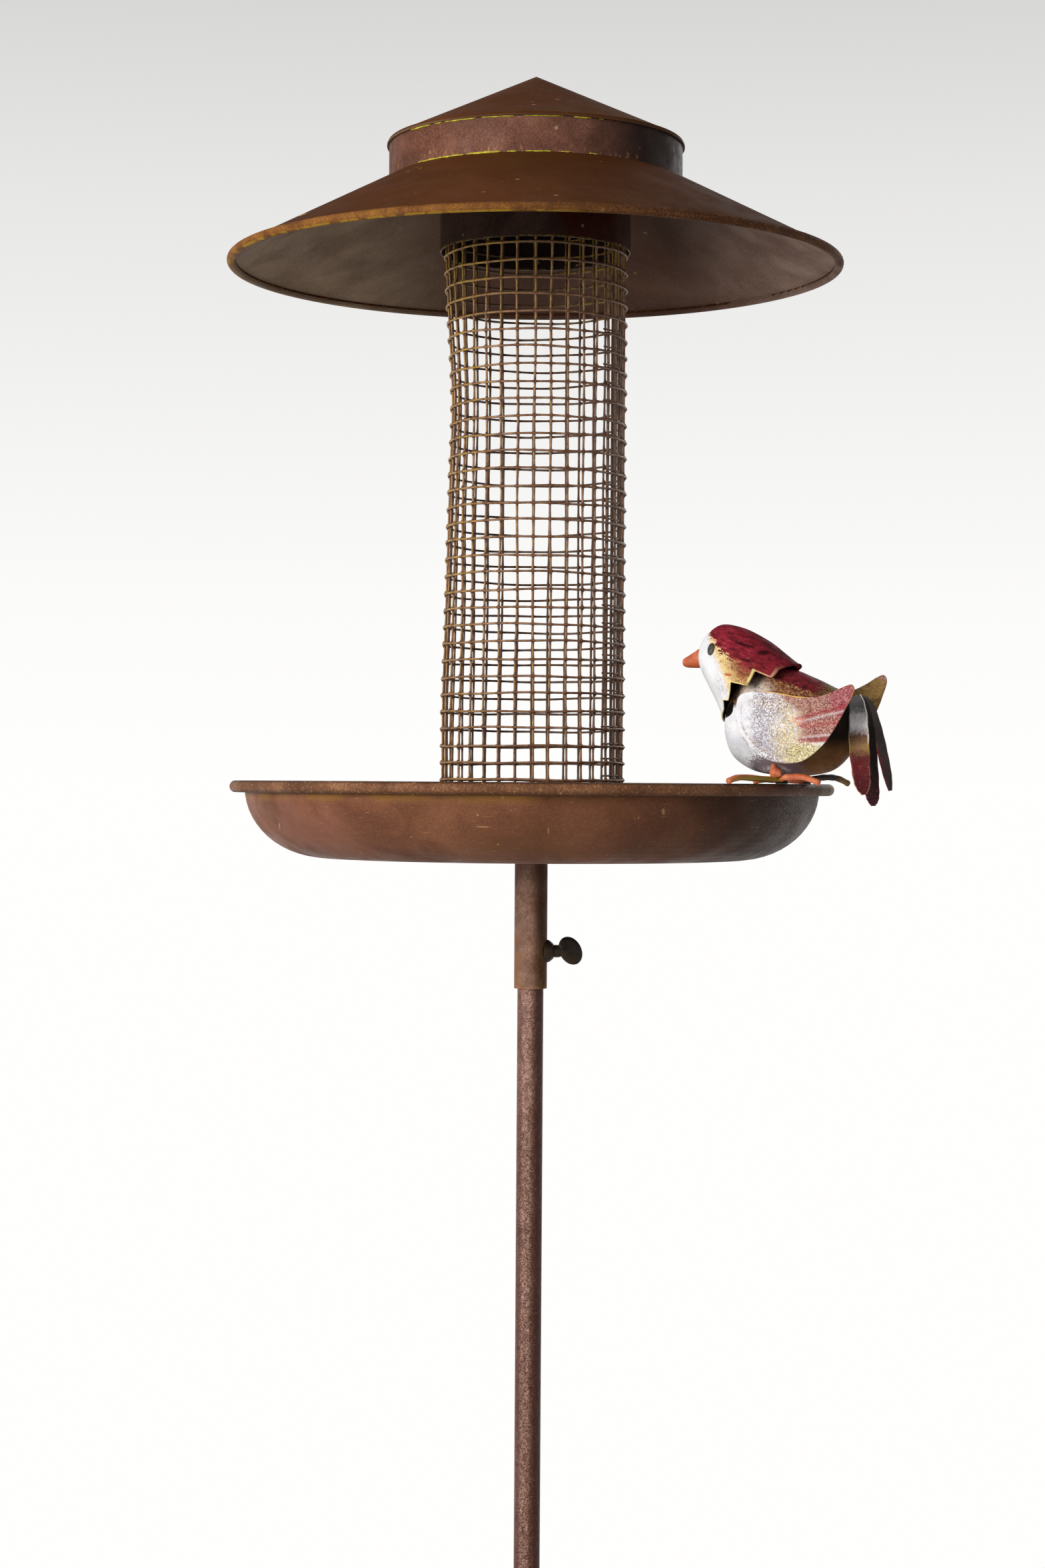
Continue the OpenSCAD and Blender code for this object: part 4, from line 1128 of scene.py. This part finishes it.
def eye_frame():
    """The point of the hood's left side at the eye, and the directions along, up and out there."""
    spots = ((u / 40, a) for u in range(60, 200, 2) for a in range(250, 330, 2))
    u, a = min(spots, key=lambda q: math.dist(hood_point(*q)[::2], EYE_AT))
    fore = Vector(hood_point(u + 0.05, a)) - Vector(hood_point(u - 0.05, a))
    over = Vector(hood_point(u, a + 1)) - Vector(hood_point(u, a - 1))
    out = fore.cross(over).normalized()
    if out.y > 0:
        out = -out
    rise = (Vector((0, 0, 1)) - out * out.z).normalized()
    return Vector(hood_point(u, a)), rise.cross(out), rise, out


def eye_shape():
    """Each eye is a painted drop that lies on the hood."""
    at, fore, rise, out = eye_frame()
    half_long, half_tall, thick = EYE_HALF

    def place(lat, lon):
        return (at + out * (thick * math.cos(lat)) + fore * (half_long * math.sin(lat) * math.cos(lon))
                + rise * (half_tall * math.sin(lat) * math.sin(lon)))

    shape = Shape()
    for side in (1, -1):
        shape.rings([[Vector((q.x, q.y * side, q.z)) for q in ring] for ring in ball(*EYE_MESH, place)])
    return shape


def hood_marks(p, flat, rag, strokes, x, y, z):
    """The crimson's darker middle and top, orange spots on the cheek, and dark pits that are painted shade in
    small dents.
    """
    middle = p.times(p.patch(flat, (-7, 40), (9, 3.0), 0.5, (rag, 0.12), -12), (strokes, 0.42, 0.56))
    p.coat((132, 40, 46), middle, 0.85)
    spots = p.most(p.patch(flat, (-14.8, 33.6), (0.8, 1.0), 0.4, (rag, 0.1)),
                   p.patch(flat, (-17.6, 38.4), (1.6, 0.5), 0.4, (rag, 0.1), -10))
    p.coat((176, 86, 46), spots, 0.9)
    top = p.times((p.math("ABSOLUTE", y), 7.5, 3.5), (x, -14, -6), (z, 36, 40))
    p.coat((66, 30, 32), top, p.spots((3, 4, 0.7), 0.36, 0.56), 0.75)
    # Painted shade in small dents
    pits = p.most(*[p.patch(flat, at, size, 0.5, (rag, share), turn) for at, size, share, turn in (
        ((-6.4, 46.2), (1.9, 0.9), 0.1, 0), ((-13, 49), (3.2, 0.5), 0.15, -16),
        ((-11, 43.4), (2.6, 0.45), 0.15, -14))])
    p.coat((44, 16, 18), pits, 0.85)


def hood_material():
    p = Paint("bird_crimson")
    x, y, z = p.xyz()
    flat = p.join(x, z)
    rag = p.ragged(7, 2.6, 4, 0.75)
    white = p.clouds(7, (212, 213, 216), (226, 227, 230), (240, 240, 242), 0.7, 0.3)
    cream = p.clouds(4, (178, 142, 92), (220, 192, 132), (242, 224, 170), 0.5, 0.55)
    # The paint runs back and down from the crown in long dry strokes
    lengthwise = p.join(p.times(p.plus((x, 0.93), (z, -0.37)), 0.28), p.plus((x, 0.37), (z, 0.93)),
                        p.times(y, 0.6))
    strokes = p.noise(1.3, 4, 0.7, vec=lengthwise)
    gold = p.ramp(strokes, (0.36, (110, 72, 44)), (0.5, (170, 126, 78)), (0.62, (218, 186, 118)))
    crimson = p.ramp(strokes, (0.34, (66, 26, 30)), (0.47, (122, 32, 44)), (0.6, (148, 40, 55)),
                     (0.72, (180, 74, 86)))
    p.color = p.over(cream, gold, (p.plus(x, (p.plus(z, -40), 0.35), rag), -18.5, -13))
    p.coat((150, 92, 56), p.spots((2.2, 4, 0.8), 0.54, 0.62), (p.plus(x, (z, 0.3)), -12, -6), 0.75)
    muted_tint = p.times((p.plus(x, (p.plus(z, -40), 0.3)), -20, -13),
                    p.grain(p.plus(0.25, (p.noise(4, 4, 0.7), 0.55)), 0.6))
    p.coat((122, 58, 48), muted_tint, 0.8)
    face = p.step(p.plus(x, (p.plus(z, -36), 0.5), (rag, 0.5)), -17.2, -20.4)
    p.coat(white, face)
    violet = p.patch(flat, (-20.5, 34), (2.2, 5), 0.6, (rag, 0.12), 24)
    p.coat((150, 136, 142), violet, p.grain(0.4), 0.6)
    line = p.plus(p.step(x, -31, -8, 53.0, 42.0), p.step(x, -9, -2, 0.0, -7.0), (p.plus(strokes, -0.5), 12),
                  p.step(x, -31, -22, 5.0, 0.0))
    red = p.step(p.math("SUBTRACT", z, line), -4.0, 1.6)
    p.coat(crimson, p.grain(p.plus(0.08, (red, 1.1)), 0.7))
    hood_marks(p, flat, rag, strokes, x, y, z)
    p.coat((210, 160, 140), p.spots((0.7, 3, 0.8), 0.63, 0.69), 0.5)
    edge = p.times((p.attribute("edge"), 0.3, 0.8), p.spots((2.4, 3, 0.7), 0.3, 0.5))
    p.coat((244, 226, 150), edge, (x, -3, -9), 0.85)
    p.coat((226, 172, 142), edge, (x, -9, -3), (z, 42, 38), 0.8)
    # Painted shade: the shell's inside is near-black
    p.coat((26, 20, 18), (p.attribute("inside"), 0.2, 0.6))
    p.bump(strokes, 0.12, 0.5)
    p.bump(p.noise(0.7, 3, 0.7), 0.05, 0.5)
    return p.finish(p.uneven(0.66, 0.84, 3, 3), spec=0.04)


def body_material():
    p = Paint("bird_breast")
    x, y, z = p.xyz()
    flat = p.join(x, z)
    rag = p.ragged(7, 2.4, 4, 0.75)
    white = p.clouds(6, (206, 207, 213), (224, 225, 229), (238, 238, 240), 0.6, 0.3)
    gold = p.clouds(9, (68, 43, 24), (92, 60, 34), (118, 82, 46), 0.7, 0.3)
    p.color = p.over(white, gold, (p.plus(x, rag), -4, 3))
    low = p.times((z, 14, 5), (x, -17, -6))
    p.coat((104, 84, 92), p.grain(p.times(low, 1.2), 0.55), (x, 12, 3), 0.9)
    p.coat((226, 218, 216), p.patch(flat, (-3, 4.6), (5, 1.6), 0.5, (rag, 0.1)), p.grain(0.55, 0.7))
    back = p.step(p.plus(z, (x, 0.36), (rag, 0.5)), 34.5, 38.5)
    strokes = p.noise(1.4, 4, 0.75, vec=p.scaled(0.35, 0.8, 1))
    crimson = p.ramp(strokes, (0.36, (58, 24, 26)), (0.5, (104, 28, 36)), (0.64, (136, 44, 54)))
    mottled = p.ramp(p.noise(1.0, 4, 0.8), (0.4, (78, 36, 32)), (0.5, (122, 74, 54)),
                     (0.62, (184, 146, 92)))
    p.coat(mottled, (p.plus(z, (rag, 0.2)), 26, 29))
    pale = p.times(p.patch(flat, (-8.5, 31.5), (6, 5), 0.5, (rag, 0.12)), p.grain(0.75, 0.8))
    p.coat((214, 200, 186), pale, 0.9)
    p.coat(crimson, p.grain(p.times(back, 1.25), 0.8))
    rump = p.times((p.plus(x, (rag, 0.6)), 12, 17), (z, 27, 31))
    p.coat(p.ramp(p.noise(0.9, 4, 0.8), (0.4, (70, 48, 32)), (0.54, (120, 92, 56)),
                  (0.64, (196, 168, 112))), rump, 0.85)
    p.coat((126, 84, 44), (z, 22, 10), (x, 14, 23), 0.35)
    # Painted shade: behind the wings and under the hood's edge the tin is painted near-black
    shaded_behind_wings = p.times((x, 10, 16), (z, 10, 17), (z, 30.5, 28), (p.math("ABSOLUTE", y), 1.5, 4))
    gap = p.step(p.attribute("gap"), 0.42, 0.72)
    p.coat((16, 10, 9), p.most(p.times(shaded_behind_wings, 0.95), gap))
    p.coat((222, 186, 150), p.spots((0.6, 3, 0.8), 0.64, 0.7), (z, 24, 28), 0.5)
    p.bump(p.noise(1.0, 3, 0.7), 0.06, 0.5)
    p.bump(p.noise(9, 2, 0.5), 0.3, 0.3)
    return p.finish(p.uneven(0.5, 0.66, 4, 3), spec=0.06)


def wing_strokes(p, flat, rag):
    """Crimson strokes along the ridges, pale painted highlights beside them and an orange blaze."""
    for start, end, width, tint in (((9, 22.6), (26.5, 27.0), 1.1, (146, 36, 52)),
                                    ((10, 14.9), (21.5, 15.6), 1.3, (150, 44, 56)),
                                    ((10, 20.0), (24.5, 21.4), 1.0, (164, 58, 68))):
        mark = p.stroke(flat, start, end, width, 0.7, (rag, 0.12))
        p.coat(tint, mark, p.grain(0.62, 0.8), 0.9)
    # Painted highlights: pale lines beside the ridges
    for start, end in (((10.5, 21.6), (26.2, 25.2)), ((11.5, 16.2), (23.2, 17.2))):
        p.coat((226, 212, 216), p.stroke(flat, start, end, 0.5, 0.6, (rag, 0.1)), 0.6)
    blaze = p.times(p.patch(flat, (9.6, 22.2), (2.2, 1.4), 0.6, (rag, 0.12)), p.grain(0.5, 0.8))
    p.coat((224, 118, 84), blaze, 0.8)


def wing_edges(p, x, z):
    """Worn paint on the border, in its groove and on the tin's edges."""
    border = p.times((x, 12, 4), (z, 27, 20), p.spots((1.8, 4, 0.8), 0.5, 0.58))
    p.coat((150, 120, 96), border, (p.attribute("edge"), 0.02, 0.2), 0.6)
    p.coat((164, 138, 112), (p.attribute("groove"), 0.3, 0.8), p.spots((2.2, 4, 0.8), 0.42, 0.54), 0.75)
    edge = p.step(p.attribute("edge"), 0.45, 0.9)
    p.coat((222, 172, 78), edge, (z, 28.5, 30), (x, -7, -3), (x, 16, 9), 0.8)
    p.coat((200, 136, 92), edge, (x, 23, 26), (z, 26, 29), 0.6)


def wing_inner_face(p, x, y, z, rag, mauve):
    """Gold-brown sheet. The right wing's tip is painted on this face and on its edge too."""
    behind = p.step(p.times(y, p.facing()[1]), 2.0, -2.0)
    p.coat(p.clouds(6, (84, 62, 34), (124, 95, 54), (160, 128, 78), 0.7, 0.35), behind)
    p.coat(mauve, behind, (y, 4, 8), (p.plus(z, (x, 0.6), (rag, 0.5)), 53, 56), 0.8)
    p.coat((128, 36, 52), (y, 4, 8), (x, 22, 28), (p.attribute("edge"), 0.2, 0.6), 0.85)


def wing_material():
    p = Paint("bird_wing")
    x, y, z = p.xyz()
    flat = p.join(x, z)
    fine = p.noise(0.55, 3, 0.75)
    rag = p.ragged(6, 2.2, 4, 0.75)
    white = p.clouds(6, (210, 210, 217), (226, 226, 231), (240, 240, 243), 0.6, 0.35)
    inner = p.step(p.plus(x, (rag, 0.5)), -9.5, -6.5)
    grey = p.times(inner, (p.plus(x, rag), 14, 2))
    p.color = p.over(white, (124, 108, 116), p.grain(p.plus(0.1, (p.noise(5, 4, 0.75), 0.85)), 0.6), grey,
                     0.85)
    smudges = p.times(p.patch(flat, (-4.5, 22.5), (6.5, 8), 0.5, (rag, 0.1)),
                      p.spots((1.6, 4, 0.8), 0.53, 0.6))
    p.coat((142, 132, 140), smudges, 0.7)
    cream = p.patch(flat, (9.0, 16.5), (8.4, 13.5), 0.45, (rag, 0.16))
    creamy = p.ramp(fine, (0.38, (138, 112, 86)), (0.49, (206, 184, 136)), (0.6, (234, 222, 182)))
    p.coat(creamy, cream, p.grain(0.66, 0.8), 0.85)
    low = p.times((p.plus(z, (rag, 0.25)), 15, 12.5), (x, 2, 8))
    p.coat(p.ramp(fine, (0.42, (120, 112, 84)), (0.52, (206, 188, 126)), (0.6, (238, 226, 170))), low, 0.7)
    mauve = p.ramp(fine, (0.4, (104, 56, 56)), (0.5, (152, 98, 92)), (0.62, (206, 168, 148)))
    upper = p.step(z, 24, 31, 0, 8)
    pink = p.times((p.plus(x, upper, rag), 5, 16), (p.plus(z, (rag, 0.15)), 13.4, 15.6))
    pink = p.step(p.plus(pink, (p.plus(fine, -0.5), 1.6)), 0.35, 0.65)
    p.coat(mauve, pink)
    band = p.times(p.patch(flat, (3, 28.2), (13, 2.6), 0.5, (rag, 0.12), -4), p.grain(0.5, 0.6))
    p.coat(p.ramp(p.noise(0.8, 3, 0.8), (0.42, (104, 72, 80)), (0.54, (168, 136, 120)),
                  (0.64, (224, 204, 140))), band, 0.85)
    tip = p.step(p.plus(x, (z, 0.5), (rag, 0.5)), 33.5, 37.5)
    p.coat(p.ramp(fine, (0.4, (110, 44, 56)), (0.52, (156, 72, 82)), (0.64, (196, 124, 126))), tip, 0.75)
    wing_strokes(p, flat, rag)
    wing_edges(p, x, z)
    wing_inner_face(p, x, y, z, rag, mauve)
    p.bump(fine, 0.05, 0.6)
    p.bump(p.noise(2, 3, 0.7), 0.08, 0.4)
    return p.finish(p.uneven(0.5, 0.66, 3, 3), spec=0.1)


def tail_material(name, left_edge, right_edge, *bands):
    """Sprayed bands down a strip, as levels and colours, with a worn edge."""
    p = Paint(name, "bird_tail")
    _, _, z = p.xyz()
    drift = p.plus(z, p.ragged(7, 1.2, 4, 0.8))
    low, high = bands[0][0], bands[-1][0]
    p.color = p.ramp(p.step(drift, low, high), *[(smooth(at, low, high), tint) for at, tint in bands])
    p.coat((36, 26, 26), p.spots((0.5, 3, 0.8), 0.56, 0.64), 0.45)
    p.coat((200, 170, 130), p.spots((0.6, 3, 0.8), 0.62, 0.69), 0.4)
    edge = p.attribute("edge")
    down = p.step(z, 28, -4)
    p.coat(p.ramp(down, *left_edge), (edge, -0.3, -0.8), p.spots((2, 3, 0.7), 0.3, 0.45), 0.95)
    p.coat(p.ramp(down, *right_edge), (edge, 0.3, 0.8), p.spots((1.6, 3, 0.7), 0.34, 0.48), 0.9)
    p.bump(p.noise(0.6, 3, 0.7), 0.05, 0.6)
    return p.finish(p.uneven(0.5, 0.66, 3, 3), spec=0.08)


def orange_material():
    p = Paint("bird_orange")
    x, y, z = p.xyz()
    p.color = p.clouds(3.5, (172, 84, 50), (196, 102, 64), (218, 132, 92), 0.4, 0.35)
    # Painted shade: the beak's lower front is darker
    p.coat((172, 78, 44), (x, -33, -39), (z, 45, 42), (z, 20, 30), 0.4)
    olive = p.times(p.patch(p.join(x, z), (-4.6, 1.2), (4.6, 1.5), 0.5, p.ragged(1.2, 1.4, 3, 0.7)),
                    (y, 0, -3))
    p.coat((150, 136, 30), olive, 0.8)
    p.coat((112, 46, 26), (z, 5.2, 7.2), (z, 20, 12), p.spots((1.5, 3, 0.7), 0.36, 0.54), 0.8)
    # Painted shade on the rear of the far foot, lighter again at its toe tip
    far = p.times((y, 5, 9), (x, 1, 4), (z, 20, 12))
    dark = p.ramp(p.noise(1.6, 3, 0.7), (0.4, (34, 25, 24)), (0.6, (60, 44, 38)))
    p.coat(dark, far)
    p.coat((140, 108, 60), far, (x, 13.2, 15), 0.8)
    p.coat((238, 178, 130), p.spots((0.8, 3, 0.8), 0.62, 0.68), 0.45)
    p.bump(p.noise(0.7, 3, 0.7), 0.05, 0.6)
    return p.finish(p.uneven(0.42, 0.58, 2, 3), spec=0.3)


def black_material():
    p = Paint("bird_black")
    p.color = p.ramp(p.noise(1.1, 3, 0.7), (0.38, (34, 32, 28)), (0.52, (54, 51, 44)), (0.64, (78, 74, 62)))
    p.bump(p.noise(0.5, 3, 0.7), 0.04, 0.5)
    return p.finish(0.5, spec=0.35)


def bird_piece(name, shape, look, *replaces):
    piece(name, shape, "feeder", look, replaces, PERCH)


CRIMSON = hood_material()
ORANGE = orange_material()
FEATHER = wing_material()
WING = wing_shape()
TAIL_STRIPS = {
    "left": (TAIL_LEFT, -12, tail_material(
        "bird_tail_left",
        ((0.0, (60, 60, 60)), (0.2, (120, 116, 108)), (0.42, (214, 192, 70)), (0.6, (150, 60, 50)),
         (0.9, (170, 130, 110))),
        ((0.0, (236, 232, 222)), (0.3, (232, 226, 204)), (0.42, (196, 176, 84)), (0.6, (120, 50, 46)),
         (1.0, (150, 100, 88))),
        (-2, (66, 8, 14)), (6, (86, 10, 20)), (9.6, (78, 28, 26)), (13, (142, 108, 70)), (17, (96, 66, 56)),
        # Grey paint near the top, brightened to near white as a painted highlight
        (20.5, (226, 222, 224)), (24, (196, 194, 194)), (27.5, (82, 81, 81)))),
    "middle": (TAIL_MIDDLE, 25, tail_material(
        "bird_tail_middle",
        ((0.0, (70, 60, 58)), (0.5, (64, 40, 42)), (1.0, (96, 40, 50))),
        ((0.0, (70, 60, 58)), (0.5, (84, 52, 52)), (1.0, (130, 66, 70))),
        (-6, (54, 28, 32)), (4, (38, 26, 28)), (20, (30, 24, 24)), (28, (60, 56, 54)))),
    "right": (TAIL_RIGHT, 56, tail_material(
        "bird_tail_right",
        ((0.0, (120, 118, 112)), (0.1, (232, 230, 224)), (0.32, (226, 214, 130)), (0.48, (196, 76, 76)),
         (0.75, (150, 46, 58)), (1.0, (120, 70, 70))),
        ((0.0, (70, 60, 58)), (0.5, (90, 74, 66)), (1.0, (150, 120, 100))),
        (-1, (62, 56, 54)), (8, (82, 66, 66)), (18, (70, 60, 58)), (28, (88, 84, 80)))),
}

bird_piece("bird_body_shell", body_shape(), body_material(), "bird_body")
bird_piece("bird_hood_shell", hood_shape(), CRIMSON, "bird_hood")
bird_piece("bird_hood_knob", knob_shape(), CRIMSON)
bird_piece("bird_beak_tin", beak_shape(), ORANGE, "bird_beak")
bird_piece("bird_eye_drops", eye_shape(), black_material(), "bird_eyes")
left_wing = Shape([(x, -y, z) for x, y, z in WING.verts], WING.faces, WING.masks)
right_wing = Shape([BEND @ Vector(v) for v in WING.verts], WING.faces, WING.masks)
bird_piece("bird_wing_left_tin", left_wing, FEATHER, "bird_wing_left")
bird_piece("bird_wing_right_tin", right_wing, FEATHER, "bird_wing_right")
for side, (rows, turn, look) in TAIL_STRIPS.items():
    bird_piece(f"bird_tail_{side}_strip", tail_shape(rows, turn), look, f"bird_tail_{side}")
bird_piece("bird_feet_wires", feet_shape(), ORANGE, "bird_feet")
bird_piece("bird_leg_welds", leg_welds(), ORANGE)

# Light, floor and camera, in metres
LAMPS = {
    "key_light": ((-1.55, -1.45, 0.95), (0, 0, 0.5), 1.0, 42, (1.0, 0.975, 0.94)),
    "fill_light": ((1.7, -1.3, 0.9), (0, 0, 0.5), 1.4, 1.5, (1.0, 0.98, 0.96)),
    "back_light": ((0.9, 1.7, 1.5), (0, 0, 0.6), 1.2, 8, (1.0, 1.0, 1.0)),
}
FLOOR_Z = -0.1405
FLOOR_R = 1.2
WHITE_FROM, WHITE_TO = 0.55, 1.15
# The sine of a height above the horizon, and how bright the backdrop is there
BACKDROP = ((0.0, 1.0), (0.063, 0.97), (0.132, 0.89), (0.198, 0.8), (0.262, 0.68))
CAMERA_AT = (-0.0035, -1.090, 0.50835)
CAMERA_ROLL = 0.38
CAMERA_LENS, CAMERA_SENSOR = 66.35, 36


def lamp(name, at, aim, size, power, color):
    data = bpy.data.lights.new(name, "AREA")
    data.shape = "DISK"
    data.size = size
    data.energy = power
    data.color = color
    obj = shown(name, data)
    obj.location = at
    obj.rotation_euler = (Vector(aim) - Vector(at)).to_track_quat("-Z", "Y").to_euler()


def floor_material():
    """White, and clear towards its edge, where the backdrop takes over."""
    p = Paint("floor_white")
    x, y, _ = p.xyz()
    fade = p.step(p.length(x, y), WHITE_FROM / MM, WHITE_TO / MM)
    p.color = p.ramp(p.noise(90, 3), (0.3, (0.80, 0.80, 0.80, 1)), (0.7, (0.84, 0.84, 0.84, 1)))
    p.finish(0.9, spec=0.1)
    clear = p.new("ShaderNodeBsdfTransparent").outputs[0]
    p.link(p.made("ShaderNodeMixShader", (fade, p.bsdf.outputs[0], clear))[0], p.surface)
    return p


def floor():
    mesh = bpy.data.meshes.new("floor")
    ring = [(FLOOR_R * math.cos(a), FLOOR_R * math.sin(a), FLOOR_Z) for a in turns(96)]
    mesh.from_pydata(ring, [], [range(len(ring))])
    mesh.materials.append(floor_material().mat)
    shown("floor", mesh)


def studio():
    """Soft light, stronger from the left. The backdrop shows only to the camera and in gloss and glass."""
    world = bpy.data.worlds.new("studio")
    world.use_nodes = True
    w = Nodes(world.node_tree)
    rays = w.new("ShaderNodeLightPath").outputs
    shows = w.most(*[rays[f"Is {kind} Ray"] for kind in ("Camera", "Glossy", "Transmission")])
    x, _, z = w.split(w.new("ShaderNodeTexCoord").outputs["Generated"])
    tints = [(at, (level, level * 0.995, level * 0.985, 1)) for at, level in BACKDROP]
    backdrop = w.made("ShaderNodeBackground", (w.ramp(z, *tints), 1.0))[0]
    soft = w.made("ShaderNodeBackground", (w.step(x, -0.9, 0.7, 0.66, 0.22), 1.0))[0]
    out = w.new("ShaderNodeOutputWorld").inputs[0]
    w.link(w.made("ShaderNodeMixShader", (shows, soft, backdrop))[0], out)
    bpy.context.scene.world = world


def photo_camera():
    data = bpy.data.cameras.new("photo_camera")
    data.lens = CAMERA_LENS
    data.sensor_width = CAMERA_SENSOR
    camera = shown("photo_camera", data)
    camera.matrix_world = (Matrix.Translation(CAMERA_AT) @ Matrix.Rotation(math.radians(90), 4, "X")
                           @ Matrix.Rotation(math.radians(CAMERA_ROLL), 4, "Z"))
    bpy.context.scene.camera = camera


for name, values in LAMPS.items():
    lamp(name, *values)
floor()
studio()
photo_camera()
bpy.context.scene.view_settings.view_transform = "Standard"
